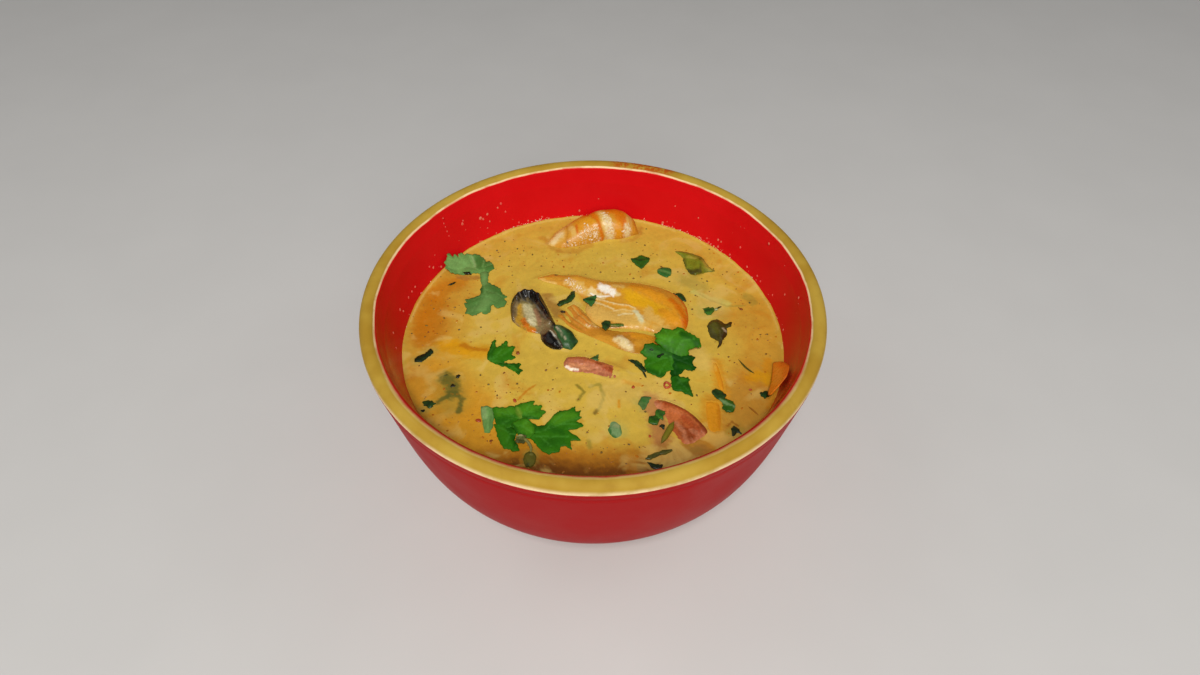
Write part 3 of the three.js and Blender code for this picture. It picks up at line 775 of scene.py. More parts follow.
def heaped(flat_rise, ridges, margin):
    """The height of a mound above the broth, for `sheet`."""
    def height(points, away):
        rises = [rise * np.exp(-(off_line(points, line) / half) ** 2) for rise, half, line in ridges]
        shoulder = np.sqrt(1 - (1 - np.clip(away / margin, 0, 1)) ** 2)
        return (MOUND_SINK + (flat_rise + sum(rises))) * shoulder - MOUND_SINK
    return height


def mound(name, node, slot, finish, outline, height, base, strokes, seed, spacing=0.45, curds_and_highlights=(), rough=0.05):
    """rough: how uneven its surface is, in mm."""
    uneven = lambda points, away: height(points, away) + rough * waves(points, 1.5, seed)
    piece = solid(name, *sheet(outline, uneven, None, spacing, 4, seed), finish)
    paint(piece, base, strokes, 0.6, seed)
    fleck(piece, curds_and_highlights)
    return hand_in(piece, slot, node)

# %% Prawn in the middle
MIDDLE_FAR = [(-26.1, 33.8), (-21.7, 35.6), (-18.2, 37), (-14.2, 36.2), (-8.3, 35.3), (0.6, 32.6),
    (7.2, 31.6), (13.8, 31.4), (20.3, 30.8), (26.4, 29.2), (31.1, 27.2), (35.3, 24.4), (38.9, 19.9),
    (40.5, 14.8), (40.6, 8.6), (39.8, 4.6), (38.1, 0.3)]
MIDDLE_NEAR = [(34.2, -2.7), (29.3, -1.6), (23.6, 0.4), (18.6, 1.8), (12.8, 2.4), (6.9, 2.3), (2.7, 3.5),
    (-0.6, 6.4), (-2.8, 9.3), (-4.1, 13.5), (-3.7, 17.8), (-5.9, 22.1), (-9.5, 25.8), (-13.9, 28.4),
    (-18.4, 29.6), (-22.4, 30.9)]
MIDDLE_RIB = [(-2.4, 21.6), (2.4, 18.4), (6.6, 16), (11, 14.9), (14.6, 14.4), (17.6, 12.6)]
MIDDLE_RIDGES = [(2.7, 4.6, [(-7.3, 30.4), (0.6, 27), (7.9, 25), (15.6, 24.2), (23.2, 22.6), (29.4, 19.6),
    (33.7, 13.6), (35, 6.6)]), (1.7, 5.0, [(7.9, 18.2), (15.6, 16.7), (22.2, 13.7), (28.4, 8.7)]),
    (0.9, 4.6, [(1.9, 11.9), (7.8, 8.4), (15.3, 6.1), (21.6, 3.8)]),
    (0.5, 2.0, [(-21.6, 32.4), (-14.9, 32.5), (-8.2, 29.9)]), (0.35, 0.6, MIDDLE_RIB),
    (0.7, 1.8, [(18, 9.8), (19.6, 7.5), (20.4, 5.7)]),
    (-0.3, 0.6, [(27.1, 22.8), (26.3, 17.1), (28.2, 12.1)]),
    (-0.2, 0.6, [(32.9, 20), (31.7, 13.9), (33.8, 7.9)]), (-0.35, 0.6, [(-2, 20), (1.9, 14.5), (1, 10.3)])]

# %% Colour on the middle prawn
middle_strokes = [(FLESH_PEACH, 5.0, 0.95, [(-0.7, 13.7), (2.7, 9.5), (7.8, 7.8), (13.7, 7.2), (19.5, 4.9)]),
    (SHELL_GOLD, 4.0, 1.0, [(16.5, 18.7), (20.7, 16.3), (24.8, 13.9), (28.9, 10.3)]),
    (SHELL_AMBER, 3.0, 0.95, [(17.5, 24.9), (21.8, 23), (26, 19.9), (30.1, 17.1), (33.7, 13.5), (36.4, 9.9)]),
    (SHELL_AMBER, 2.6, 0.9, [(29, 10.5), (32.1, 7), (35.3, 4.1), (36.7, 0)]),
    (SHELL_ORANGE, 1.8, 0.9, [(33.2, 17), (35.9, 13.3), (37.7, 9.2), (38.2, 3.9)]),
    (SHELL_GOLD, 2.6, 0.75, [(14.4, 21.8), (15.6, 18.1), (18.1, 16.3)]),
    (FLESH_CREAM, 1.5, 0.9, [(8.4, 25), (12.3, 25)]), (PALE_FLESH_AND_HIGHLIGHT, 1.5, 0.9, [(7.9, 21.5), (10.1, 20.3)]),
    (FLESH_TAN, 1.6, 0.9, [(-2.5, 28.2), (0.2, 25.7)]),
    (FLESH_CREAM, 1.4, 0.85, [(-12.2, 29.9), (-8.6, 28), (-5.5, 26.7)]),
    (FLESH_CREAM, 1.8, 0.9, [(-7.7, 25.6), (-4.6, 24.4), (-1.6, 22.5)]),
    (FLESH_TAN, 1.2, 0.9, [(-19.9, 34.2), (-16.7, 32.6), (-13.6, 30.9)]),
    (FLESH_CREAM, 1.2, 0.9, [(-23.4, 32.1), (-20.2, 30.5), (-17.1, 29.8)]),
    (PALE_FLESH_AND_HIGHLIGHT, 1.6, 0.8, [(-1.1, 23.8), (1, 21.6), (4, 19.4)]),
    # Painted highlights: the white patch is pale flesh with a painted glint, and the thin pale lines along
    # and below the rib are its edge with painted highlight.
    (WHITE_FLESH_AND_HIGHLIGHT, 2.1, 1.0, [(3.4, 24.8), (5.8, 23.4), (7.6, 21.4)]),
    (WHITE_FLESH_AND_HIGHLIGHT, 0.5, 1.0, [(-1.4, 22.2), (2, 20.4), (7, 19.4)]), (PALE_FLESH_AND_HIGHLIGHT, 0.36, 0.9, MIDDLE_RIB),
    (PALE_FLESH_AND_HIGHLIGHT, 0.5, 0.7, [(-1, 18.6), (3.4, 15.4), (8.6, 12.6)]),
    (PALE_FLESH_AND_HIGHLIGHT, 0.35, 0.8, [(8.4, 11.6), (12.4, 12.6), (17, 11.2)]),
    (FLESH_CREAM, 1.6, 0.7, [(11.2, 11.2), (15.9, 11.2)]),
    (PALE_FLESH_AND_HIGHLIGHT, 0.5, 0.9, [(10.4, 9.1), (13.8, 10.3), (16.7, 9.7)]),
    # Painted highlight: a grey-cream spot where the wet flesh shines.
    (PAINTED_HIGHLIGHT_GREY, 1.5, 1.0, [(18.2, 10.8), (19.4, 7.9), (20.3, 5.5)]),
    (FLESH_PEACH, 2.2, 0.85, [(23.1, 11.5), (24.2, 7.3), (27.9, 5)]),
    (SHELL_TAN, 1.6, 0.7, [(5.7, 4.5), (10.3, 3.9)]), (FLESH_PEACH, 2.0, 0.85, [(25.7, 2.4), (30.2, 1.3)]),
    (SHELL_RUST, 1.9, 0.95, MIDDLE_FAR[4:16]), (SHELL_PEACH, 1.1, 0.85, MIDDLE_FAR[:6]),
    (SHELL_PEACH, 0.5, 0.8, [(-24, 33.6), (-17, 34), (-11, 32.6)]),
    (SHELL_TAN, 0.4, 0.7, [(-21, 31.6), (-13, 30.6), (-8, 28.4)]),
    (VEIN_BROWN, 0.8, 0.95, [(-17, 34.8), (-15.9, 36.3), (-14.2, 36.5), (-12.8, 35.2)])]
middle_milk = [(1.5, 0.8, [(-11.8, 30.3), (-8.6, 27.1), (-4.6, 24)])]
prawn_middle = mound("prawn_middle_flesh", "prawn_middle", "prawn_flesh", PRAWN, MIDDLE_FAR + MIDDLE_NEAR,
    heaped(1.1, MIDDLE_RIDGES, 3.0), FLESH_TAN, middle_strokes, 23, curds_and_highlights=middle_milk)

# %% Lower prawn
LOWER_OUTLINE = [(-16, 10.4), (-13.9, 13.4), (-11.4, 15.9), (-8.9, 17.7), (-5.8, 15.9), (-2.8, 11.7),
    (-0.2, 7), (3.2, 4.1), (7.7, 2.3), (13.6, 1.5), (19.4, 0.6), (25.5, -1.4), (28.3, -4.7), (27.2, -8.8),
    (22.2, -11), (16.5, -11.6), (11.3, -9.7), (6.8, -7), (2.7, -4.5), (-1.4, -2.3), (-5.6, 0.3),
    (-10.3, 3.4), (-13.7, 6.9)]
STRANDS = [[(-8.4, 16.3), (-5.3, 11.5), (-1.1, 5.6)], [(-10.1, 15.1), (-7, 9.7), (-1.9, 3.3)],
    [(-12.2, 12.6), (-8.7, 7.3), (-3.1, 1.5)], [(-13.8, 10.2), (-10.3, 5), (-5.2, 0.4)]]
lower_ridges = [(0.9, 2.6, [(-4.9, 8.3), (-0.6, 2.5), (5.2, -2), (11.7, -4.8), (19.1, -5.9), (24, -7)]),
    (-0.25, 0.7, [(15.2, -1.3), (15.5, -3.3), (13.7, -6.7)]),
    (-0.25, 0.7, [(22.6, -2.4), (23.2, -5), (22.2, -9.9)]), (0.7, 1.7, [(10.9, -3.5), (14.1, -7.4)]),
    (0.9, 2.6, [(16, -1.6), (20, -2.4), (24, -4.4)])]
lower_ridges += [(0.45, 0.7, strand) for strand in STRANDS]
lower_ridges += [(-0.3, 3.4, [(-13, 12.6), (-9.6, 9.4)])]
lower_strokes = [(SHELL_TAN, 3.0, 0.8, [(-14.2, 9.4), (-11.7, 11.8), (-9.2, 14.3)]),
    (SHELL_PEACH, 2.4, 0.8, [(-7.5, 11.5), (-4, 6.2), (-0.6, 1), (4, -0.6)]),
    (FLESH_TAN, 2.6, 0.85, [(1.9, -3), (5.2, -4.7), (8.4, -6.3)]),
    (SHELL_TAN, 1.8, 0.8, [(-2.3, 0), (1.9, 0), (5.2, -0.5)]),
    (SHELL_PEACH, 1.8, 0.95, [(13.6, -0.6), (15.6, 0.3), (16.2, -2.6)]),
    (SHELL_AMBER, 3.0, 0.95, [(17.5, -1.3), (21.2, -2), (24.2, -4)]),
    (FLESH_TAN, 1.8, 0.8, [(18.5, -6.6), (20.6, -6), (22.8, -7)]),
    # Painted highlight: this pale patch, flecked white, is pale flesh with painted highlights.
    (PALE_FLESH_AND_HIGHLIGHT, 2.3, 1.0, [(10.7, -4.0), (12.5, -5.7), (14.3, -8.1)]),
    (FLESH_CREAM, 0.8, 0.9, [(-3.1, 3.6), (-1.5, 2.5)]), (FLESH_CREAM, 0.8, 0.8, [(-1.1, 6.6), (1, 3.1)])]
lower_strokes += [(SHELL_PEACH, 0.6, 0.8, strand) for strand in STRANDS]
lower_strokes += [(FLESH_PEACH, 0.35, 0.7, [(x + 0.8, y + 0.7) for x, y in strand])
    for strand in STRANDS[:3]]
mound("prawn_lower_flesh", "prawn_lower", "prawn_flesh", PRAWN, LOWER_OUTLINE,
    heaped(0.5, lower_ridges, 1.2), SHELL_TAN, lower_strokes, 37,
    curds_and_highlights=[(1.6, 0.7, [(10.9, -3.5), (14.5, -7.4)]), (1.0, 0.6, [(-3.1, 3.6), (1.5, 2.5)])])

# %% [markdown]
# ## Mussel
# Out of its shell a mussel is a soft belly with a dark frilled mantle bent over it like a horseshoe, a neck
# that runs on from one arm, and a blackish foot at the end. As it lies in the broth it is one mound: the
# arms, neck and foot are ridges, the belly is the low place between them, and short ridges are the frill.

# %% Colours of mussel meat
FOLD_BLACK = rgb(12, 10, 7)
RIM_BLACK = rgb(30, 25, 15)
BEARD_BROWN = rgb(90, 75, 50)
# Painted highlight on the black fold.
FOLD_HIGHLIGHT = rgb(95, 88, 76)
MEAT_OLIVE = rgb(125, 106, 68)
MEAT_BROWN = rgb(150, 106, 75)
MEAT_DULL = rgb(158, 140, 86)
ROE_ORANGE = rgb(192, 102, 18)
ROE_MUSTARD = rgb(180, 135, 32)
MEAT_CREAM = rgb(205, 195, 150)
# Painted highlights on the wet foot: a grey one and a white one.
WET_HIGHLIGHT_GREY = rgb(130, 136, 118)
WET_HIGHLIGHT = rgb(210, 210, 190)

# %% Mussel meat
MUSSEL_OUTLINE = [(-34.4, 6.8), (-35.6, 12.1), (-35.9, 16.6), (-35.2, 20.4), (-33.4, 23.2), (-30.2, 24.6),
    (-26.8, 24.8), (-24, 23.4), (-21.8, 20.4), (-20, 16.4), (-18.1, 11.5), (-16.2, 6.6), (-14, 2),
    (-12.2, -3.2), (-11.6, -7.1), (-13.2, -9.3), (-16.5, -9.3), (-19.8, -7.1), (-21.8, -3.8), (-22.4, -0.7),
    (-24.3, -0.4), (-26.8, 0.4), (-29.4, 2.1), (-32.1, 4.1)]
WALL_LINE = [(-34, 8.1), (-34.1, 13.6), (-32.9, 18.1)]
FRILL_LINE = [(-32.9, 19.6), (-30.4, 22.3), (-26.9, 22.3), (-24.2, 20.2)]
ARM_LINE = [(-23.6, 17.8), (-21.2, 13.4), (-19.4, 8.6), (-17.8, 4.5)]
FOOT_LINE = [(-17.9, -2.8), (-16.8, -5.3), (-15.8, -6.7)]
FRILLS = [[(-33.2, 21.6), (-30.6, 19.2)], [(-30.2, 24.2), (-28.8, 19.8)], [(-26.4, 24.4), (-26.4, 20)],
    [(-23.2, 22.4), (-24.6, 18.4)]]
mussel_ridges = [(1.5, 1.1, WALL_LINE), (2.9, 1.7, FRILL_LINE), (2.1, 1.35, ARM_LINE),
    (1.3, 1.7, [(-19.4, 4.1), (-18.8, 0.1)]), (2.6, 2.8, FOOT_LINE),
    (1.0, 3.2, [(-30.1, 14.8), (-27.7, 10), (-26.2, 5.3)]), (0.5, 1.5, [(-28.2, 3.1), (-25.6, 2)])]
mussel_ridges += [(0.55, 0.8, line) for line in FRILLS]

# %% Colour on the mussel
mussel_strokes = [(MEAT_DULL, 4.4, 1.0, [(-30, 15), (-28, 10), (-26, 5)]),
    (ROE_MUSTARD, 1.8, 0.9, [(-31.8, 15), (-31.4, 9.6)]),
    (MEAT_CREAM, 2.4, 0.7, [(-28.4, 14.4), (-26.6, 10), (-25.6, 6.6)]),
    (MEAT_CREAM, 1.2, 0.9, [(-27, 6), (-25, 3.6)]),
    (ROE_MUSTARD, 2.0, 0.9, [(-32, 8), (-29.4, 4), (-26, 1.4)]),
    (ROE_ORANGE, 1.3, 0.95, [(-29.6, 6.4), (-28, 3.4)]), (ROE_ORANGE, 1.0, 0.9, [(-27, 1.4), (-24.4, 1)]),
    (MEAT_BROWN, 1.2, 0.85, [(-24.8, 13), (-23.2, 8), (-22.4, 4)]),
    (BEARD_BROWN, 1.5, 0.9, [(-34.2, 7), (-34.6, 13), (-33.2, 18)]),
    (MEAT_OLIVE, 0.7, 0.8, [(-32.9, 9), (-33, 14), (-32, 17)]),
    (FOLD_BLACK, 4.0, 1.0, [(-32.4, 20.6), (-29.4, 22.4), (-26.4, 22), (-23.6, 19.4)]),
    (FOLD_BLACK, 4.4, 1.0, [(-23.4, 19.6), (-20.6, 15), (-18.8, 11)]),
    (FOLD_BLACK, 3.4, 1.0, [(-18.8, 11), (-17, 7), (-15.4, 4)]),
    (RIM_BLACK, 0.9, 0.95, [(-35.3, 9.9), (-35.7, 16.7), (-34.5, 21.1)]),
    (MEAT_OLIVE, 2.2, 0.9, [(-21, 4), (-20, 1), (-19.6, -1.6)]),
    (BEARD_BROWN, 1.2, 0.8, [(-21.8, -0.4), (-21.4, -3.3), (-20, -6.1)]),
    # Painted highlights: thin pale lines along the black fold and arm.
    (FOLD_HIGHLIGHT, 0.3, 0.9, [(-32.2, 20.8), (-30.6, 18.6), (-27.6, 17.4)]),
    (FOLD_HIGHLIGHT, 0.28, 0.8, [(-24.4, 15), (-21.6, 10.6), (-19.6, 6)]),
    (FOLD_BLACK, 4.2, 1.0, [(-18.6, -4.8), (-16.8, -6.8), (-15, -8.2)]),
    # Painted highlights: pale lines down the wet foot and under it.
    (WET_HIGHLIGHT, 0.55, 0.95, [(-17.6, -1.2), (-16.4, -2.6), (-15.6, -4.2)]),
    (WET_HIGHLIGHT_GREY, 0.5, 0.8, [(-15.4, -4.4), (-13.8, -7.4)]),
    (WET_HIGHLIGHT, 0.4, 0.9, [(-20.4, -8), (-18, -9.4), (-15.4, -9.8)])]
mound("mussel_meat_mound", "mussel", "mussel_meat", MUSSEL, MUSSEL_OUTLINE, heaped(0.9, mussel_ridges, 1.2),
    MEAT_OLIVE, mussel_strokes, 5, 0.32,
    [(0.8, 0.9, [(-26.5, 6.4), (-25.9, 2.9)]), (0.7, 0.5, [(-13.6, -8.8), (-12.4, -8.3)])])

# %% [markdown]
# ## Tomato and pepper
# Two pieces of skinned tomato lie nearly sunk. Their rounded outer side shows as a ridge, and the flesh
# beside it slopes under the broth. The pepper is cut in strips, and one offcut leans on the bowl's wall.

# %% Colours of skinned tomato
TOMATO_DEEP = rgb(136, 60, 24)
TOMATO_RED = rgb(160, 68, 26)
TOMATO_FLESH = rgb(170, 98, 66)
TOMATO_SKIN = rgb(176, 94, 46)
TOMATO_PINK = rgb(184, 114, 78)
TOMATO_PALE = rgb(188, 118, 80)
TOMATO_CREAM = rgb(206, 138, 92)
# Painted highlight on the wet tomato.
TOMATO_HIGHLIGHT = rgb(236, 220, 196)

# %% Tomato
STRIP_OUTLINE = [(-12.4, -15.5), (-10.6, -12.9), (-5.8, -12.2), (-1.4, -13), (2.7, -15), (7.1, -16.6),
    (11.4, -19), (14.4, -22.4), (13.8, -25.4), (9.6, -25.6), (4.7, -24.3), (-0.7, -22.3), (-5.6, -21.9),
    (-9.8, -20.9), (-12.2, -18.3)]
strip_ridges = [(1.2, 1.9, [(-9, -15.4), (-4.2, -15.4), (0.7, -17.3), (4.8, -18.8)]),
    (0.6, 1.3, [(-10.1, -18.3), (-6.5, -19.9)]), (-0.3, 3.0, [(9.4, -21), (13.4, -24)])]
mound("tomato_strip_skin", "tomato_strip", "tomato", TOMATO, STRIP_OUTLINE, heaped(0.5, strip_ridges, 1.8),
    TOMATO_FLESH,
    [(TOMATO_SKIN, 1.6, 0.9, [(-9, -14.2), (-4.6, -14.2), (-0.1, -15.8), (4.3, -17.9), (9, -20.5)]),
    (TOMATO_CREAM, 1.6, 0.85, [(-10.1, -18.2), (-6.5, -18.6), (-2.1, -19.3)]),
    (TOMATO_PINK, 1.4, 0.8, [(-1.9, -18.4), (2.9, -20.3), (7.6, -22)]),
    (TOMATO_RED, 1.2, 0.85, [(4.2, -19.4), (8.2, -21.4), (12.3, -23.6)]),
    (TOMATO_DEEP, 0.7, 0.9, [(6.4, -19.2), (8, -20.4)]),
    (TOMATO_DEEP, 0.7, 0.9, [(9.8, -23), (11.4, -23.4)]),
    (TOMATO_DEEP, 0.6, 0.9, [(1.2, -17.4), (3.4, -18.2)]),
    # Painted highlight at the strip's near left end.
    (TOMATO_HIGHLIGHT, 0.6, 0.95, [(-10.9, -18.6), (-9.1, -19.9), (-6.3, -20.3)])], 41, 0.4, rough=0.12)
WEDGE_FAR = [(21.2, -34.3), (23.9, -33.8), (27.3, -34.8), (31, -36.4), (34.7, -38.7), (37.9, -41.6),
    (40.2, -44.6), (42.2, -47.7), (43.3, -50.4)]
WEDGE_NEAR = [(42.2, -52.2), (39.4, -54.5), (36.3, -56.7), (32.9, -58), (30, -57.2), (27.7, -54.1),
    (26.4, -49.5), (25.2, -44.9), (23.2, -40.6), (21, -37.3)]
wedge_ridges = [(1.3, 2.4, [(26.9, -37.3), (30.1, -38.6), (34.8, -41.3), (38.6, -45.1), (41, -48.6)]),
    (-0.65, 3.6, [(21.4, -34.7), (24.4, -42.7), (27, -50.1), (31.9, -57.3)])]
mound("tomato_wedge_skin", "tomato_wedge", "tomato", TOMATO, WEDGE_FAR + WEDGE_NEAR,
    heaped(0.75, wedge_ridges, 4.0), TOMATO_SKIN,
    [(TOMATO_FLESH, 2.4, 0.9, [(21.8, -36.3), (24, -38.7), (26, -43)]),
    (TOMATO_SKIN, 2.6, 0.85, [(27.4, -39.3), (30.2, -42.2), (33, -45.9)]),
    (TOMATO_RED, 3.0, 0.8, [(27.9, -49.3), (29.9, -53.8), (31.9, -56.9)]),
    (TOMATO_DEEP, 2.6, 0.85, [(33.9, -49.5), (35.8, -53.1), (37.9, -54)]),
    (TOMATO_RED, 2.0, 0.8, [(34.2, -44.2), (36.9, -47.9), (38.9, -51.6)]),
    (TOMATO_SKIN, 1.3, 0.9, [(24.1, -35.5), (26.7, -36.7)]),
    (TOMATO_RED, 1.5, 0.95, [(28.2, -37.5), (31.2, -38.7)]),
    (TOMATO_RED, 1.5, 0.95, [(31.9, -39), (35.2, -41.1), (38, -43.7)]),
    (TOMATO_DEEP, 1.4, 0.95, [(38.4, -44), (40.3, -47), (41.9, -50.3)]),
    (TOMATO_SKIN, 0.45, 0.7, [(30, -39.5), (34.3, -42.1), (37.8, -45.7)]),
    (TOMATO_PALE, 2.4, 0.8, [(22.4, -36), (25, -44), (28.4, -53), (32.6, -57.6), (37, -56.4), (41, -53)]),
    (TOMATO_PALE, 1.0, 0.7, [(31, -46), (33.6, -50), (34.4, -55)]),
    (TOMATO_PINK, 1.0, 0.7, [(36.6, -49.6), (39.2, -52)])], 43, 0.42, rough=0.07)

# %% Colours of pepper
PEPPER_DEEP = rgb(206, 92, 16)
PEPPER_RED = rgb(230, 104, 10)
PEPPER_ORANGE = rgb(236, 130, 24)
PEPPER_LIGHT = rgb(238, 148, 40)
PEPPER_OCHRE = rgb(190, 118, 15)
PEPPER_GOLD = rgb(208, 138, 24)
PEPPER_PALE = rgb(212, 165, 62)

# %% Pepper strips
RIGHT_STRIP = [(43.2, -35.2), (48.6, -35.6), (49.2, -40), (48.9, -46), (48.2, -50.6), (44.4, -51),
    (42.5, -49), (42.2, -43), (42.5, -38)]
mound("pepper_right_strip", "pepper_right", "pepper", PEPPER, RIGHT_STRIP,
    heaped(0.42, [(0.3, 1.6, [(44.4, -37), (44, -49)])], 1.6), PEPPER_GOLD,
    [(PEPPER_GOLD, 1.3, 0.8, [(44.8, -38), (44.4, -47)]),
    (PEPPER_OCHRE, 1.2, 0.8, [(48.2, -38), (47.8, -48)]),
    (PEPPER_GOLD, 0.6, 0.7, [(43.6, -38), (43.2, -47)])], 47, rough=0.02)
THIN_STRIP = [(47.4, -14.6), (49.4, -14.8), (51, -20), (51.8, -27), (52, -31.6), (50, -32.4), (48.4, -28),
    (47.5, -21)]
mound("pepper_strip_cut", "pepper_strip", "pepper", PEPPER, THIN_STRIP,
    heaped(0.32, [(0.3, 0.8, [(49, -17), (50, -29)])], 1.1), PEPPER_GOLD,
    [(PEPPER_OCHRE, 0.7, 0.8, [(50.6, -20), (51.2, -30)]),
    (PEPPER_PALE, 0.6, 0.6, [(48.2, -15), (48.8, -20)])], 53, rough=0.02)

# %% Pepper on the wall
SLAB_FOOT = 73.0
SLAB_SLOPE = 2.0
SLAB_CUT = 1.0
SLAB_OUTLINE = [(72, -17.3), (73.8, -21.9), (74.3, -28.5), (72.5, -33.8), (70.4, -35.9), (67, -37.9),
    (66.8, -34.8), (69.1, -28.6), (70.8, -22.3)]


def slab_rise(points, away):
    """It lies in the broth and, past its foot, leans up the wall of the bowl."""
    past = np.maximum(np.linalg.norm(points, axis=1) - SLAB_FOOT, 0)
    return 0.35 + SLAB_SLOPE * past - 0.25 * (1 - blend(0, 0.9, away))


pepper_slab = solid("pepper_wall_slab", *sheet(SLAB_OUTLINE, slab_rise, SLAB_CUT, 0.5, 5, 3), PEPPER)
paint(pepper_slab, PEPPER_ORANGE, [(PEPPER_LIGHT, 1.6, 0.8, [(70.6, -26), (70, -33)]),
    (PEPPER_RED, 1.0, 0.8, [(73.4, -21.6), (73.8, -28), (72, -33)]),
    (PEPPER_LIGHT, 0.7, 0.7, [(71.4, -20), (71.6, -26)]),
    (PEPPER_DEEP, 0.7, 0.7, [(73.9, -21.9), (74.3, -28.5), (72.5, -33.8), (70.4, -35.9)])], 0.5, 61)
hand_in(pepper_slab, "pepper", "pepper_wall")

# %% [markdown]
# ## Leaves
# A coriander leaf is a thin sheet with a toothed edge. It has its lobes, veins and sagging margin, and lies
# on the broth, on a prawn or up the wall. A flat plane with a picture of a leaf would be quicker, but it
# would have no edge and no relief.

# %% Veins and lobes of a leaf
LEAF_THICKNESS = 0.3
LEAF_SPACING = 0.7
LEAF_TEETH = 0.4


def leaf(name, outline, veins, height, base, strokes, seed, finish=LEAF, cup=0.25):
    """A leaf with veins as lines from stalk to tips. cup: how far its margin sags, in mm."""
    def lie(flat, away):
        crease = np.min([off_line(flat, vein) for vein in veins], axis=0)
        swell = 0.16 * blend(0, 1.2, crease) * blend(0, 1.0, away)
        return height(flat) - cup * (1 - blend(0, 2.6, away)) + swell + 0.12 * waves(flat, 4.5, seed)
    shape = sheet(outline, lie, LEAF_THICKNESS, LEAF_SPACING, 5, seed, LEAF_TEETH)
    piece = solid(name, *shape, finish)
    vein_tone = np.asarray(base) * 1.5 + 0.02
    lines = [(vein_tone, 0.34, 0.5, vein) for vein in veins]
    paint(piece, base, strokes + lines, 0.35, seed)
    return piece


def flat_at(value):
    return lambda flat: np.full(len(flat), float(value))


def merged(name, pieces):
    """Several mesh objects as one, with their painted layers."""
    with bpy.context.temp_override(active_object=pieces[0], selected_editable_objects=pieces):
        bpy.ops.object.join()
    pieces[0].name = name
    return pieces[0]

# %% Colours of coriander
LEAF_DEEP = rgb(14, 65, 5)
LEAF_DARK = rgb(25, 76, 6)
LEAF_GREEN = rgb(32, 88, 9)
LEAF_MIDDLE = rgb(44, 104, 10)
LEAF_FRESH = rgb(54, 114, 14)
LEAF_BRIGHT = rgb(72, 130, 22)
LEAF_SHADE = rgb(46, 84, 30)
LEAF_DUSTY = rgb(67, 113, 47)
LEAF_SAGE = rgb(82, 122, 58)
LEAF_GREY = rgb(98, 140, 70)
LEAF_PALE = rgb(110, 150, 80)
LEAF_OLIVE = rgb(116, 142, 44)
LEAF_MILKY = rgb(132, 162, 100)

# %% Coriander at the left, its upper leaf climbing the wall
UPPER_LEFT = [(-47.3, 37), (-46.2, 38.6), (-44.8, 40.1), (-45.8, 42.8), (-47.3, 44.8), (-48.7, 44.5),
    (-49.8, 46.5), (-51.8, 48.1), (-53.8, 48.4), (-56.2, 47.1), (-57.7, 47.4), (-58.6, 46.2), (-59.6, 46.9),
    (-61, 45.8), (-61.2, 44.2), (-62.6, 45.2), (-63.3, 43.6), (-64.8, 44.3), (-65.8, 43.8), (-65.6, 41.7),
    (-66.8, 39.4), (-65.8, 38.5), (-66.1, 37), (-64.8, 36.1), (-62.9, 35.7), (-60.8, 35.9), (-58.2, 35.6),
    (-55.2, 36.6), (-52.4, 36.8), (-50.1, 36.6)]
LOWER_LEFT = [(-50.9, 37.4), (-47.2, 37.4), (-47, 34), (-46.7, 31), (-45.1, 29.5), (-43, 28.4),
    (-40.8, 26.3), (-39.7, 23.5), (-37.8, 22.1), (-38.6, 20.3), (-37.5, 18.6), (-38.4, 15.9), (-41.5, 14.8),
    (-43.2, 16.8), (-44, 16.2), (-44, 12.7), (-46.3, 11), (-47.8, 12.5), (-49.5, 11), (-51.3, 10),
    (-52.6, 11.1), (-54.7, 11.6), (-54.2, 14.1), (-55.8, 17.2), (-54.5, 17.9), (-55.5, 19.9), (-52.7, 20.8),
    (-49.5, 22.9), (-49.5, 25.8), (-49.2, 28.8), (-50.1, 31.7)]
STALK_LEFT = (-48.8, 37)


def climb_wall(flat):
    return 0.7 + 0.6 * np.maximum(np.linalg.norm(flat, axis=1) - 70.5, 0)


left_upper = leaf("left_upper", UPPER_LEFT, [[STALK_LEFT, (-55, 40.5), (-61, 42), (-65, 41.5)],
    [(-53, 39.5), (-55.5, 44), (-56.5, 46.5)], [(-57.5, 41.2), (-61, 45)],
    [(-56, 40.8), (-61, 38.2), (-65, 37.4)], [STALK_LEFT, (-50, 42), (-50, 46)],
    [(-49.6, 40.4), (-46.4, 42.6)]], climb_wall, LEAF_GREY, [(LEAF_PALE, 4.2, 0.85, [(-62, 40), (-56, 43)]),
    (LEAF_DUSTY, 3.4, 0.9, [(-51, 45), (-48, 41), (-46.5, 40.5)]),
    (LEAF_DUSTY, 1.6, 0.7, [(-53.5, 47), (-51.5, 40)]),
    (LEAF_MILKY, 0.7, 0.9, [(-55.4, 46.5), (-54, 43), (-53.6, 40.5)]),
    (LEAF_SAGE, 0.8, 0.7, [(-65.5, 37), (-60, 36), (-52, 37)])], 71)
left_lower = leaf("left_lower", LOWER_LEFT, [[STALK_LEFT, (-48.4, 31), (-47.6, 26), (-46.5, 20), (-46, 13)],
    [(-47.6, 26), (-43.5, 24), (-39.5, 21.5)], [(-47.2, 23.5), (-50, 17.5), (-51.8, 12)],
    [(-47, 22), (-42, 18.5)], [(-47.5, 22.8), (-52, 19)]], flat_at(0.7), LEAF_SAGE,
    [(LEAF_PALE, 1.7, 0.8, [(-49, 36), (-48.4, 30)]), (LEAF_DUSTY, 2.6, 0.8, [(-43.5, 27.5), (-40, 24)]),
    (LEAF_DUSTY, 2.2, 0.7, [(-53.5, 18), (-50, 21)]), (LEAF_PALE, 2.6, 0.7, [(-46, 19), (-48, 14)]),
    (LEAF_SHADE, 0.8, 0.8, [(-49.4, 27.6), (-49, 24)])], 72)
hand_in(merged("coriander_left_leaf", [left_upper, left_lower]), "coriander", "coriander_left")

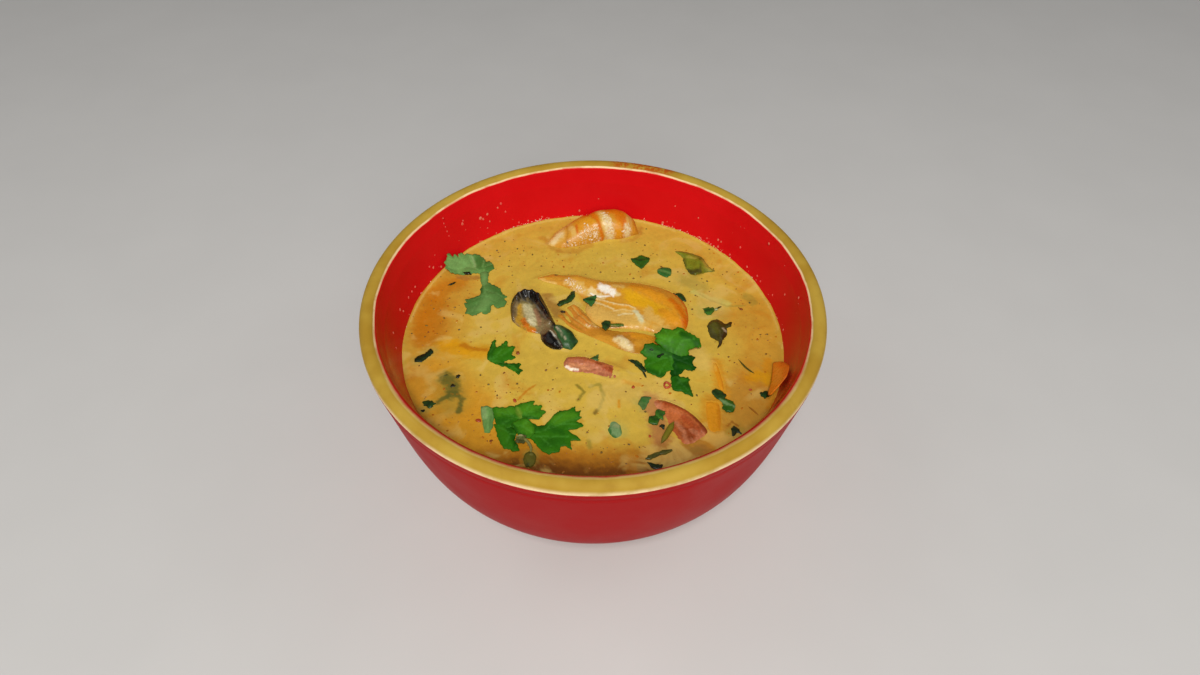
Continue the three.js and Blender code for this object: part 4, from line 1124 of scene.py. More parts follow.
# %% Small coriander leaf
SMALL_LEAF = [(-43, -11.9), (-42.7, -9.9), (-42.3, -8.5), (-41.7, -5.6), (-40.9, -3.7), (-40.2, -4.5),
    (-39.9, -7.8), (-38.5, -7.6), (-37.3, -6), (-35.9, -4.7), (-35.2, -5.2), (-35.1, -7.4), (-34, -7.5),
    (-32.8, -7.1), (-32.1, -8), (-32.6, -10), (-33.1, -11.5), (-32.3, -12.6), (-31.4, -13.6), (-32.5, -14.5),
    (-34.3, -14.8), (-35.8, -15.8), (-35.5, -16.5), (-32, -16.7), (-29.6, -16.8), (-28.9, -17.4),
    (-29.8, -18.8), (-27.9, -20.4), (-29, -21.2), (-29.7, -22.5), (-31, -21), (-32.7, -19.9), (-35.6, -18),
    (-37.1, -18.1), (-39.3, -16.7), (-41, -15.9), (-42.3, -14.7), (-42.9, -13.3)]
small_leaf = leaf("coriander_small_leaf", SMALL_LEAF, [[(-41.5, -14.6), (-41.4, -10), (-41, -5.5)],
    [(-41.5, -14.6), (-38, -11), (-36, -6)], [(-41.5, -14.6), (-36.5, -12.4), (-32.8, -8.4)],
    [(-41, -15), (-36, -16.6), (-31.5, -18.6), (-29.2, -21)]], flat_at(0.7), LEAF_MIDDLE,
    [(LEAF_DARK, 1.6, 0.8, [(-42, -13), (-41.4, -6)]), (LEAF_FRESH, 2.2, 0.7, [(-38, -12), (-35, -9)]),
    (LEAF_DEEP, 1.2, 0.8, [(-37, -16.8), (-30, -18), (-29, -21)])], 73)
hand_in(small_leaf, "coriander", "coriander_small")

# %% Coriander at the right, resting on a prawn
RIGHT_TOP = [(24.7, -4.8), (26.5, -3.9), (28.2, -1.5), (30.3, -1.8), (32.2, -2.5), (34.4, -0.9),
    (36.5, -1.3), (37.7, -2.9), (39.5, -4.3), (41.3, -5.6), (43.1, -7), (43.6, -8.3), (43.5, -9.6),
    (41, -9.8), (39.3, -10.2), (38.5, -11), (38.6, -12.3), (36.3, -13), (32, -12.7), (29.1, -11.6),
    (27.8, -10.3), (25.7, -8.8), (24.9, -8.1), (25.5, -6.9)]
RIGHT_LEFT = [(20.6, -9.5), (24, -9), (26.3, -9.6), (29.1, -10.4), (32.4, -12.1), (32.7, -15.8), (32, -19.7),
    (30.4, -20), (28.7, -21.6), (27.6, -23.4), (26, -23.7), (23.6, -22.2), (21.7, -21.4), (20.6, -18.6),
    (20.5, -15.6), (21.5, -13.9), (18.9, -12), (20.4, -10.6)]
RIGHT_RIGHT = [(30.7, -12.2), (36.3, -12.2), (38.6, -12.4), (41, -13.1), (40, -15.5), (40.2, -17.4),
    (41.2, -18.3), (40.1, -19.9), (38, -20.1), (37, -19.2), (35.2, -21.3), (32.8, -23.1), (31.1, -24),
    (30.6, -21.9), (30.6, -18.6)]
RIGHT_BOTTOM = [(30.7, -23.6), (32.9, -22.5), (34.5, -23.4), (36.3, -23.6), (37.8, -23.9), (37.7, -26.6),
    (38.1, -30), (38.8, -33.1), (36.1, -32.2), (34.1, -30.8), (31.6, -30.4), (30.8, -29.2), (30.7, -26.6)]
RIGHT_STALK = (31.6, -13.4)
PRAWN_EDGE = (30, -15)
PRAWN_STEP = 4.65
PRAWN_STEP_WIDTH = 9.0
PRAWN_STEP_HEADING = math.radians(95)


def over_prawn(lift):
    def height(flat):
        way = (flat - PRAWN_EDGE) @ [math.cos(PRAWN_STEP_HEADING), math.sin(PRAWN_STEP_HEADING)]
        return lift + PRAWN_STEP * blend(0, PRAWN_STEP_WIDTH, way)
    return height

# %% Lobes of the leaf at the right
right_lobes = [leaf("right_top", RIGHT_TOP, [[RIGHT_STALK, (31, -8), (29.4, -3)], [(31, -8), (35.5, -2.8)],
    [RIGHT_STALK, (36, -8), (41, -7)], [(31, -8.6), (26.5, -6.4)]], over_prawn(0.95), LEAF_FRESH,
    [(LEAF_BRIGHT, 2.8, 0.85, [(28, -6), (33, -5)]), (LEAF_DARK, 1.6, 0.85, [(36, -5), (42, -8.4)]),
    (LEAF_GREEN, 1.2, 0.8, [(28, -10.6), (33, -12)])], 74),
    leaf("right_left", RIGHT_LEFT, [[RIGHT_STALK, (27.5, -14.5), (21.6, -17.6)],
    [RIGHT_STALK, (28, -18), (26, -22.4)], [RIGHT_STALK, (26, -12), (20, -11.4)],
    [RIGHT_STALK, (31.4, -18)]], over_prawn(0.85), LEAF_MIDDLE,
    [(LEAF_DARK, 1.8, 0.8, [(21, -10.6), (28, -11.6), (31, -13)]),
    (LEAF_FRESH, 2.6, 0.8, [(25, -18), (29, -17)]), (LEAF_DARK, 1.4, 0.8, [(21.4, -20), (27, -22.8)])], 75),
    leaf("right_right", RIGHT_RIGHT, [[RIGHT_STALK, (35.5, -15.5), (39.5, -17.6)],
    [RIGHT_STALK, (33, -18), (32.4, -22)], [(34, -15), (39, -13.6)]], over_prawn(0.7), LEAF_DEEP,
    [(LEAF_DEEP, 1.8, 0.85, [(34, -14), (39, -14.4)]), (LEAF_GREEN, 1.8, 0.7, [(34, -18), (38, -18.4)])],
    76),
    leaf("right_bottom", RIGHT_BOTTOM,
    [[(33.4, -23.4), (34.4, -27), (37.6, -31.8)], [(34, -26), (31.6, -29)], [(34, -26), (37, -25)]],
    flat_at(0.7), LEAF_GREEN,
    [(LEAF_DARK, 1.1, 0.9, [(32.6, -25.4), (36.6, -28.6)]), (LEAF_FRESH, 1.6, 0.7, [(35.6, -25)])], 77)]
hand_in(merged("coriander_right_leaf", right_lobes), "coriander", "coriander_right")

# %% Sprig of coriander in front
FRONT_PALE = [(-42.9, -38.9), (-40, -38.4), (-38.2, -39.6), (-37.6, -42.4), (-37.4, -47.2), (-38.5, -50.6),
    (-40.3, -50.4), (-41.8, -44.8)]
FRONT_LEFT = [(-38.3, -39.1), (-33.8, -38.9), (-29.4, -38.5), (-27, -41.3), (-25.1, -44.1), (-27.7, -46.5),
    (-29.8, -48.2), (-33, -48.9), (-35.9, -47.9), (-37.3, -43.8)]
FRONT_TOP = [(-29.9, -38.7), (-27.2, -37.2), (-25, -36.3), (-22.5, -35.9), (-22.9, -37.9), (-19.7, -38.2),
    (-19.8, -39.9), (-17.9, -41.1), (-19.5, -43.2), (-20.4, -44.6), (-24, -44.5), (-25.6, -44.9),
    (-27.9, -43.9)]
FRONT_CENTRE = [(-30.6, -47.5), (-28.9, -45.7), (-25.1, -44.3), (-22.2, -47.5), (-21.6, -50.9),
    (-23.3, -53.4), (-26.7, -53.1), (-28.5, -50.9)]
FRONT_LOW_LEFT = [(-37, -47.1), (-33.7, -47), (-30.7, -48), (-28.3, -50.4), (-28.9, -53.7), (-27.6, -56.3),
    (-26.9, -58.4), (-29.1, -59.3), (-30.4, -58.1), (-32.4, -57.8), (-34, -55.5), (-35.4, -52.4),
    (-36.1, -49.7)]
FRONT_RIGHT = [(-22.8, -46.4), (-20.6, -47.5), (-18.4, -47.4), (-16.8, -45.7), (-14.7, -42.2),
    (-12.8, -40.5), (-10, -40.5), (-7, -38.4), (-6.5, -40.7), (-4.6, -40.4), (-5.3, -42.5), (-4.5, -43.6),
    (-6.3, -45.3), (-3.5, -47), (-5.7, -48.7), (-9.3, -49.8), (-6.2, -52.1), (-4.6, -54.1), (-8.1, -54.5),
    (-7.9, -58.3), (-9.5, -57), (-11.5, -56.7), (-12.5, -59.3), (-14.6, -59.6), (-15.9, -60.3),
    (-18.9, -58.7), (-20.4, -56.7), (-22.1, -54.4), (-23.8, -52.8), (-22.6, -50.1)]
FRONT_STALK = (-25.8, -52)

# %% Lobes of the front sprig
front_lobes = [leaf("front_pale", FRONT_PALE, [[(-40.6, -39.6), (-39.6, -44), (-39.2, -49.6)]], flat_at(0.7),
    LEAF_GREY, [(LEAF_MILKY, 1.4, 0.8, [(-41.6, -39.6), (-40.4, -44)]),
    (LEAF_SAGE, 1.4, 0.7, [(-38.4, -44), (-39, -49)])], 81),
    leaf("front_left", FRONT_LEFT, [[(-27, -44.6), (-32, -43), (-36.8, -41)], [(-30, -43.6), (-33, -40)],
    [(-30, -44.4), (-34, -47)]], flat_at(0.75), LEAF_MIDDLE,
    [(LEAF_BRIGHT, 2.4, 0.8, [(-35.6, -41), (-31, -40.6)]),
    (LEAF_GREEN, 1.5, 0.85, [(-36, -45.6), (-30, -46.6)]),
    (LEAF_OLIVE, 1.2, 0.7, [(-28.4, -41.4), (-27, -43.6)])], 82),
    leaf("front_top", FRONT_TOP, [[(-27.6, -43), (-23.6, -41.4), (-19, -41)], [(-26, -42.4), (-24, -37)],
    [(-26.4, -42.6), (-21.4, -43.6)]], flat_at(0.95), LEAF_FRESH,
    [(LEAF_BRIGHT, 2.2, 0.8, [(-26, -40), (-22, -39)]),
    (LEAF_GREEN, 1.1, 0.85, [(-27.4, -43.4), (-21.4, -44.2)]),
    (LEAF_OLIVE, 1.0, 0.7, [(-28.8, -40), (-27.6, -42)])], 83),
    leaf("front_centre", FRONT_CENTRE,
    [[(-29.6, -47.4), (-26, -48.6), (-22.6, -51)], [(-26, -48.4), (-24.4, -45.6)]], flat_at(1.25),
    LEAF_FRESH, [(LEAF_BRIGHT, 1.8, 0.8, [(-25, -47), (-24, -50)]),
    (LEAF_DARK, 0.9, 0.9, [(-30, -47.6), (-28, -51), (-25.6, -53)])], 84),
    leaf("front_low_left", FRONT_LOW_LEFT, [[FRONT_STALK, (-30.4, -51.6), (-35, -48.4)],
    [(-30.4, -51.6), (-32, -56)], [FRONT_STALK, (-28.4, -58)]], flat_at(0.72), LEAF_MIDDLE,
    [(LEAF_DARK, 1.3, 0.85, [(-31.4, -49), (-29, -53), (-28, -57)]),
    (LEAF_FRESH, 1.8, 0.75, [(-34, -49.6), (-32.4, -54)])], 85),
    leaf("front_right", FRONT_RIGHT, [[FRONT_STALK, (-18, -50), (-10, -46), (-5, -43.6)],
    [(-18, -50), (-12, -43)], [FRONT_STALK, (-16, -53), (-9, -52.6)], [(-20, -52.4), (-15, -57.6)],
    [(-12, -47), (-6, -47.2)]], flat_at(0.76), LEAF_MIDDLE,
    [(LEAF_BRIGHT, 2.8, 0.85, [(-14, -45), (-9, -43)]),
    (LEAF_GREEN, 1.8, 0.85, [(-21, -48.4), (-16, -49), (-12, -50.6)]),
    (LEAF_GREEN, 2.2, 0.7, [(-18, -56), (-12, -55)]), (LEAF_FRESH, 1.6, 0.7, [(-8, -47)])], 86)]
hand_in(merged("coriander_front_leaf", front_lobes), "coriander", "coriander_front")

# %% Colours of lime leaf
LIME_BROWN = rgb(50, 36, 8)
LIME_BLACK = rgb(25, 56, 20)
LIME_SHADE = rgb(64, 58, 13)
LIME_DARK = rgb(44, 80, 36)
LIME_OLIVE = rgb(84, 82, 20)
LIME_MOSS = rgb(92, 98, 30)
LIME_BLUE = rgb(62, 100, 62)
LIME_FRESH = rgb(118, 124, 26)
LIME_GOLD = rgb(160, 150, 56)
LIME_PALE = rgb(170, 160, 130)

# %% Dark leaves
LIME_BACK = [(37.6, 52.3), (42.6, 51.7), (47, 49.8), (49.7, 46.8), (52.2, 42), (54.6, 39), (51.2, 38.5),
    (48.5, 37.1), (45.5, 35.9), (43.1, 37.3), (41.7, 40.9), (40.9, 45), (40.6, 48.7)]
lime_back = leaf("lime_leaf_back_fold", LIME_BACK, [[(38, 52), (45, 50), (49.6, 46.6), (54.2, 39.2)]],
    lambda flat: 1.0 + 0.8 * blend(3.4, 0.6, off_line(flat, [(49, 47), (46.5, 36.5)])), LIME_FRESH,
    [(LIME_GOLD, 2.2, 0.95, [(50.4, 44), (52.4, 40)]),
    (LIME_MOSS, 0.6, 0.95, [(38, 52), (44, 51.2), (48, 48.8), (50, 46), (54.4, 39.2)]),
    (LIME_SHADE, 1.5, 0.95, [(42.4, 39.2), (44.6, 37.2), (47.6, 37.6)]),
    (LIME_OLIVE, 1.0, 0.8, [(41, 47), (41.4, 42)]), (LIME_GOLD, 1.0, 0.8, [(43.4, 47.6), (46.6, 46.6)]),
    (LIME_OLIVE, 0.5, 0.9, [(48.4, 47.6), (48.4, 41), (47.6, 38)]),
    (LIME_MOSS, 0.4, 0.9, [(49, 38.2), (54, 38.8)])], 91, DARK_LEAF, cup=0.7)
hand_in(lime_back, "dark_leaf", "lime_leaf_back")

LIME_RIGHT = [(47.9, 5), (50.1, 7.9), (52.6, 8.8), (54.6, 7.9), (56, 6.3), (58.6, 7.6), (57.9, 4.6),
    (56.1, 2.5), (55.6, -0.4), (53.7, -3.2), (52.9, -5.6), (50.6, -8), (51.8, -4.8), (50.2, -3.2),
    (48.6, -1.2), (47.8, 2.1)]
lime_right = leaf("lime_leaf_right_curl", LIME_RIGHT, [[(49, 6), (52.6, 1), (52.6, -4)]],
    lambda flat: 0.7 + 0.9 * blend(4.2, 0.4, off_line(flat, [(50.6, 5.4), (52.4, 0.6), (52, -3)])),
    LIME_SHADE, [(LIME_OLIVE, 1.8, 0.8, [(50, 4.6), (51, 0.6)]),
    (LIME_BROWN, 1.3, 0.85, [(52, 8), (55, 6.4), (58, 6.6)]),
    (LIME_BROWN, 1.0, 0.9, [(55.8, 2.4), (53.6, -3), (51.4, -7)]),
    (LIME_PALE, 0.8, 0.95, [(54.4, 2.0), (55, 1.4)])], 92, DARK_LEAF, cup=0.6)
hand_in(lime_right, "dark_leaf", "lime_leaf_right")

# %% A rolled leaf by the mussel
def soft_cut(seed, lump):
    """The unevenness of a roll's section."""
    def swell(t, angle):
        flat = np.stack([t.ravel() * 20, np.cos(angle.ravel()) * 4, np.sin(angle.ravel()) * 4], 1)
        return 1 + lump * waves(flat, 5, seed).reshape(t.shape)
    return swell


ROLL_SPINE = [(-17.6, 5.4, -0.2), (-14.8, 2.4, 0.2), (-12, -2, 0.3), (-10.2, -6, 0.1), (-9, -8.8, -0.4)]
ROLL_WIDTH = [0.4, 2.4, 3.8, 3.8, 0.4]
ROLL_HEIGHT = [0.3, 1.8, 2.4, 2.1, 0.3]
roll = loft(ROLL_SPINE, ROLL_WIDTH, ROLL_HEIGHT, 60, 32, soft_cut(17, 0.07))
leaf_roll = solid("leaf_by_mussel_roll", *roll, DARK_LEAF)
paint(leaf_roll, LIME_DARK, [(LIME_BLACK, 1.0, 0.9, [(-12.8, 4), (-8.6, -3), (-7, -8)]),
    (LIME_BLUE, 0.9, 0.9, [(-14.6, 3), (-12, -2), (-10.4, -5.6)]),
    (LIME_BLACK, 1.2, 0.8, [(-9.4, -1), (-8.4, -6)]),
    (LIME_PALE, 0.4, 0.9, [(-15.6, 2.4), (-13.4, -1.4), (-11.6, -5.4)])], 0.5, 93)
hand_in(leaf_roll, "dark_leaf", "leaf_by_mussel")

# %% [markdown]
# ## Broth
# Coconut milk makes the broth opaque, so it is a skin of colour over a plain body. Its top is a fine web of
# triangles in rings. It creeps up the wall and up everything that floats in it, which makes food look wet,
# and oil, sunk herbs and sunk pepper show as soft strokes. Dark strokes along its near edge are painted
# shade, and one olive stroke is partly a painted shadow. The body goes a hair into the wall of the bowl,
# so no gap of air shows.

# %% A web of triangles in rings
WEB = 0.52
BITE = 0.35
broth_edge = inner_radius(LEVEL) + BITE
ring_count = int(broth_edge / WEB)


def web(rings, reach):
    """A disc of triangles: ring k has 6k points, so that all of them are about as far apart."""
    points = [(0.0, 0.0)]
    for k in range(1, rings + 1):
        angle = np.arange(6 * k) * 2 * math.pi / (6 * k)
        points += list(zip(reach * k / rings * np.cos(angle), reach * k / rings * np.sin(angle)))
    start = lambda k: 1 + 3 * k * (k - 1)
    faces = []
    for k in range(rings):
        inside = (lambda i: 0) if k == 0 else (lambda i, k=k: start(k) + i % (6 * k))
        outside = lambda i, k=k: start(k + 1) + i % (6 * (k + 1))
        for side in range(6):
            for i in range(k + 1):
                a, b = side * k + i, side * (k + 1) + i
                faces.append((inside(a), outside(b), outside(b + 1)))
                if i < k:
                    faces.append((inside(a), outside(b + 1), inside(a + 1)))
    return np.array(points), faces


flat_web, web_faces = web(ring_count, broth_edge)
print(f"broth: {len(flat_web)} points in {ring_count} rings, out to {broth_edge:.1f} mm")

# %% The surface of the broth
CREEP_WALL, CREEP_WALL_WIDTH = 0.8, 1.1
CREEP_FOOD, CREEP_LEAF, CREEP_FOOD_WIDTH = 0.5, 0.12, 0.75
FAR_AWAY = 9.0
SWELLS = [(0.10, 15, 301), (0.05, 5, 302), (0.018, 1.8, 303)]


def near_to(*slots):
    """How far off the food of these finishes is from each point of the web, in mm."""
    points, faces, start = [], [], 0
    for piece, slot in handed_in:
        if slot in slots:
            points += [tuple(p) for p in places(piece)]
            faces += [tuple(i + start for i in f.vertices) for f in piece.data.polygons]
            start = len(points)
    tree = BVHTree.FromPolygons(points, faces)
    return np.array([min(tree.find_nearest((x, y, LEVEL))[3], FAR_AWAY) for x, y in flat_web])


near_food = near_to("prawn_flesh", "mussel_meat", "tomato", "pepper")
near_leaf = near_to("coriander", "dark_leaf")
near = np.minimum(near_food, near_leaf)
out = np.linalg.norm(flat_web, axis=1)
top_height = LEVEL + CREEP_WALL * np.exp((out - broth_edge) / CREEP_WALL_WIDTH)
top_height += CREEP_FOOD * np.exp(-near_food / CREEP_FOOD_WIDTH)
top_height += CREEP_LEAF * np.exp(-near_leaf / CREEP_FOOD_WIDTH)
for rise, size, seed in SWELLS:
    top_height += rise * waves(flat_web, size, seed)
print(f"its top lies {top_height.min() - LEVEL:.2f} to {top_height.max() - LEVEL:.2f} mm above its level")

# %% Its body, down to the floor of the bowl
BODY_RINGS = 26
around = 6 * ring_count
turn = np.arange(around) * 2 * math.pi / around
levels = np.linspace(LEVEL - 0.5, FLOOR_HEIGHT + 2.5, BODY_RINGS)
drawing_in = floor_edge[1] + 1


def body_radius(height):
    """Into the wall, and lower down away from it, where the wall curves into the floor."""
    if height > drawing_in:
        return inner_radius(height) + BITE
    return inner_radius(drawing_in) - 2 * (drawing_in - height)


radii = [body_radius(height) for height in levels]
body = [np.column_stack([r * np.cos(turn), r * np.sin(turn), np.full(around, z)])
    for z, r in zip(levels, radii)]
top_points = np.column_stack([flat_web, top_height])
broth_points = np.vstack([top_points, *body, [(0, 0, levels[-1])]])
first_rim = len(top_points) - around
spot = lambda row, i: first_rim + row * around + i % around
bottom = len(broth_points) - 1
broth_faces = web_faces + quads(len(levels), around, spot)
broth_faces += [(bottom, spot(len(levels), i + 1), spot(len(levels), i)) for i in range(around)]

# %% Colours of the broth
NEAR_SHADE = rgb(104, 58, 12)
OIL_BROWN = rgb(120, 92, 26)
HERB_SHADE = rgb(95, 94, 34)
# Rust of oil specks, also used for painted shade along the broth's near edge.
OIL_AND_SHADE_RUST = rgb(145, 88, 20)
HERB_SUNK = rgb(134, 118, 36)
OIL_TAN = rgb(152, 104, 44)
OIL_DARK = rgb(178, 107, 8)
HERB_MILKY = rgb(150, 134, 50)
OIL_ORANGE = rgb(188, 116, 18)
BROTH_TAN = rgb(182, 124, 42)
BROTH_PINK = rgb(170, 106, 62)
OIL_GOLD = rgb(204, 136, 18)
BROTH_AMBER = rgb(192, 138, 40)
OIL_YELLOW = rgb(208, 148, 14)
# Olive of sunk herbs, also used for a painted shadow.
OLIVE_SUNK_HERB_AND_SHADOW = rgb(172, 152, 66)
BROTH_GOLD = rgb(204, 148, 52)
MILK_GREY = rgb(172, 160, 76)
MILK_TAN = rgb(202, 167, 62)
MILK_PALE = rgb(208, 172, 84)
MILK_GREEN = rgb(196, 186, 92)
MILK_CREAM = rgb(214, 182, 98)

# %% Broth finish
def broth_finish():
    finish = Finish("creamy_broth", Roughness=0.24, Specular_IOR_Level=0.3)
    curd = finish.noise(2.4, 5, 0.68)
    both = finish.plus(finish.times(finish.noise(13, 4, 0.6), 0.45), finish.times(curd, 0.55))
    shade = finish.step(both, 0.33, 0.67, 0.91, 1.08)
    colour = finish.shaded(finish.layer("tint", "Color"), shade)
    cream = finish.step(finish.noise(15, 3, 0.5, twist=1.1), 0.52, 0.68, 0.0, 0.5)
    colour = finish.mix(cream, colour, MILK_CREAM)
    amber = finish.step(finish.noise(18, 3, 0.5, twist=1.3), 0.56, 0.72, 0.0, 0.4)
    colour = finish.mix(amber, colour, OIL_ORANGE)
    drops = finish.step(finish.noise(1.5, 3, 0.6), 0.57, 0.66)
    streaks = finish.step(finish.noise(6, 4, 0.66), 0.55, 0.68)
    film = finish.times(finish.layer("oil"), finish.sum("MAXIMUM", drops, finish.times(streaks, 0.6)))
    colour = finish.mix(finish.times(film, 0.5), colour, OIL_DARK)
    dots = finish.step(finish.noise(0.55, 2, 0.5), 0.69, 0.74)
    colour = finish.mix(finish.times(dots, 0.5), colour, OIL_AND_SHADE_RUST)
    bumps = finish.relief(curd, 0.1, 0.5)
    bumps = finish.relief(finish.noise(0.7, 3, 0.6), 0.03, 0.5, bumps)
    rough = finish.step(film, 0.0, 1.0, 0.26, 0.1)
    return finish.show(Base_Color=colour, Normal=bumps, Roughness=rough)

# %% Strokes on the broth
def arc(radius, start, end, steps):
    """Points on a circle about the bowl's axis, between two bearings in degrees."""
    bearing = np.radians(np.linspace(start, end, steps))
    return list(zip(radius * np.cos(bearing), radius * np.sin(bearing)))


broad_tones = [(MILK_TAN, 26, 0.8, [(-45, 50), (0, 64), (45, 45)]),
    (BROTH_AMBER, 16, 0.7, [(-66, 28), (-66, -4)]),
    (OIL_GOLD, 17, 0.75, [(-62, -28), (-42, -52), (-18, -64)]),
    (OIL_ORANGE, 12, 0.7, [(-18, -66), (20, -67), (46, -60)]),
    # Painted shade: the two rust strokes and the darkest stroke along the near edge stand for the near rim's
    # shadow.
    (OIL_AND_SHADE_RUST, 9, 0.9, [(-30, -70), (0, -74), (32, -70)]),
    (OIL_AND_SHADE_RUST, 11, 0.75, [(-34, -65), (0, -69), (36, -65)]),
    (NEAR_SHADE, 7, 1.0, [(-26, -67), (-6, -70.5), (4, -71), (17, -69.6), (34, -66)]),
    (BROTH_AMBER, 15, 0.65, [(68, 12), (68, -14), (62, -36)]),
    (BROTH_TAN, 12, 0.6, [(62, -28), (54, -44), (42, -56)]), (MILK_TAN, 15, 0.65, [(-10, -32), (14, -40)]),
    (MILK_PALE, 8, 0.6, [(8, -30), (24, -31)]), (MILK_TAN, 7, 0.6, [(-42, -1), (-30, -6), (-10, -14)]),
    (MILK_TAN, 7, 0.55, [(44, -10), (56, -6)]), (BROTH_AMBER, 5, 0.6, [(-70, -14), (-66, -30)])]

# %% Oil and pepper in the broth
oil_and_pepper_tones = [(OIL_DARK, 9, 0.75, [(-69, 16), (-68, 0)]),
    (OIL_ORANGE, 5.5, 0.7, [(-69.4, 23.2), (-66, 27), (-60, 31)]),
    (OIL_ORANGE, 4.5, 0.6, [(-73, 10), (-71, -4)]),
    (OIL_YELLOW, 4.6, 0.85, [(-60.4, -6.5), (-55.3, -8.1), (-51, -10.3), (-44.5, -10.3)]),
    (OIL_YELLOW, 2.4, 0.9, [(-59.3, -5.4), (-55.4, -7), (-51.8, -10.3)]),
    (OIL_DARK, 1.3, 0.8, [(-53.9, -6.5), (-48.7, -8.7), (-43.8, -9.2)]),
    (OIL_GOLD, 2.6, 0.8, [(70.4, -15.4), (69.4, -22.3), (69.1, -28.9)]),
    (OIL_GOLD, 2.4, 0.85, [(71.6, -30.9), (70.6, -34.9), (68.4, -38.8)]),
    (OIL_YELLOW, 3.4, 0.9, [(62.6, -23.6), (65.9, -22), (68.4, -23.8)]),
    (OIL_GOLD, 4.8, 0.7, [(45.4, -36), (45, -51)]), (OIL_GOLD, 3.6, 0.7, [(49.4, -16), (50, -33)]),
    (OIL_GOLD, 0.6, 0.9, [(9.9, -35.2), (9.9, -38.2)])]

# %% Greens sunk in the broth
sunk_green_tones = [(HERB_MILKY, 8, 0.55, [(-57, -26), (-54, -36)]),
    (HERB_SHADE, 3.6, 0.9, [(-58.4, -24), (-55.4, -27), (-54.4, -31.6)]),
    (HERB_SHADE, 1.2, 0.9, [(-55.1, -31.1), (-56.3, -33.3), (-59.9, -36.3)]),
    (HERB_SHADE, 1.3, 0.9, [(-53.5, -31.7), (-50.6, -34.9), (-51.1, -40.9)]),
    # Part painted shadow, part sunk herb: the olive patch from (40.5, 34) to (46.7, 28).
    (OLIVE_SUNK_HERB_AND_SHADOW, 5.2, 0.65, [(40.5, 34), (46.7, 28)]),
    (MILK_GREEN, 2.0, 0.85, [(44.4, 25.4), (50.9, 21.6), (57.6, 18)]),
    (HERB_MILKY, 0.5, 0.7, [(46.4, 24.5), (50.9, 20.4), (57.6, 16.8), (65.4, 17.2)]),
    (MILK_GREY, 6, 0.5, [(48, 14), (53, 13)]),
    (HERB_SUNK, 0.8, 0.9, [(-6.4, -27.5), (-3.6, -31), (-5.9, -34.9)]),
    (HERB_MILKY, 0.8, 0.8, [(-1.4, -28.2), (2.5, -27), (4.1, -32.8), (2.5, -38.9), (0.6, -41.5)]),
    (OIL_BROWN, 0.9, 0.9, [(0.6, -41.5), (1.2, -40)]), (MILK_GREY, 5.0, 0.65, [(8.2, -48.9), (9, -49)]),
    (MILK_GREY, 4.0, 0.6, [(19, -36), (20, -38)]), (HERB_MILKY, 3.4, 0.6, [(52, -50), (54, -50)]),
    (HERB_SUNK, 1.6, 0.7, [(36, -58), (39, -58)]), (HERB_MILKY, 1.1, 0.7, [(-1.2, -57), (-1.4, -54)]),
    (HERB_MILKY, 3.4, 0.6, [(-22.9, -62.4), (-22.5, -60)]), (HERB_MILKY, 2.6, 0.6, [(67, 23), (69, 20)]),
    (OLIVE_SUNK_HERB_AND_SHADOW, 3.0, 0.6, [(-71, -15), (-66, -10)]), (OLIVE_SUNK_HERB_AND_SHADOW, 3.0, 0.6, [(-63, -37), (-64, -40)])]

# %% Where the broth meets the food and the wall
tones_round_food = [(OIL_ORANGE, 0.55, 0.85, [(-29, -34.8), (-25.8, -30.3), (-22.8, -27.6)]),
    (OIL_AND_SHADE_RUST, 0.55, 0.85, [(50.3, -47.1), (52.3, -45.3), (54.4, -47.1)]),
    (BROTH_PINK, 4.4, 0.8, [(21.7, -34.8), (24, -42), (25, -53.6)]),
    (OIL_TAN, 4, 0.7, [(25.9, -58.1), (32.3, -60.7), (39.1, -58)]),
    (MILK_CREAM, 5, 0.5, [(40.7, -9.3), (43.2, -12.6), (44.5, -16.3)]),
    (OIL_TAN, 3, 0.8, [(-19.9, 22.6), (-17.5, 16.4), (-14.7, 11)]),
    (BROTH_TAN, 1.6, 0.6, [(-25, 62), (-22, 60), (-20.6, 55.4), (-16, 52.6)]),
    (BROTH_TAN, 1.4, 0.55, [(22.4, 69.6), (21.8, 65), (18.6, 61), (13, 59.8)]),
    (BROTH_TAN, 2.2, 0.6, [(-16, 52.4), (-8, 52.6), (-2, 56.4)]),
    (BROTH_GOLD, 3.2, 0.85, [(2.8, 15.1), (7.9, 11.6), (12.9, 9.2), (17.1, 8)]),
    (OIL_TAN, 1.6, 0.7, [(-52, 34), (-60, 34.4)]), (BROTH_GOLD, 1.2, 0.8, [(12, -26), (18, -27.4)]),
    (MILK_CREAM, 0.5, 0.6, arc(77.3, 60, 175, 40)), (MILK_CREAM, 0.5, 0.5, arc(77.3, 2, 50, 20)),
    (OIL_TAN, 0.5, 0.6, arc(77.4, 215, 320, 40))]

# %% The broth, painted
oil_lines = [(9, 0.9, [(-68, 22), (-67, -2)]), (12, 0.6, [(-60, -30), (-30, -60)]),
    (10, 0.6, [(-38, -28), (-24, -34)]), (10, 0.6, [(-30, 48), (10, 44)]), (10, 0.5, [(66, 10), (62, -40)]),
    (8, 0.6, [(0, -62), (30, -66)]), (6, 0.6, [(22, -30), (30, -34)])]
tones = broad_tones + oil_and_pepper_tones + sunk_green_tones + tones_round_food
broth = solid("broth_poured", broth_points, broth_faces, broth_finish())
paint(broth, MILK_TAN, tones, 0.55, 401)
weigh(broth, "oil", np.max([patch(broth_points, *line) for line in oil_lines], axis=0))
hand_in(broth, "broth", "soup")

# %% [markdown]
# ## Chopped herbs, stalks and chili
# Small cut things are made one by one, each at its own place, because they are large enough to be told
# apart. A scrap is the same thin sheet as a leaf, on a small ragged outline, and a stalk is a thin loft.
# The list of scraps gives an outline, or what draws a ragged oval, then two tones and a height.

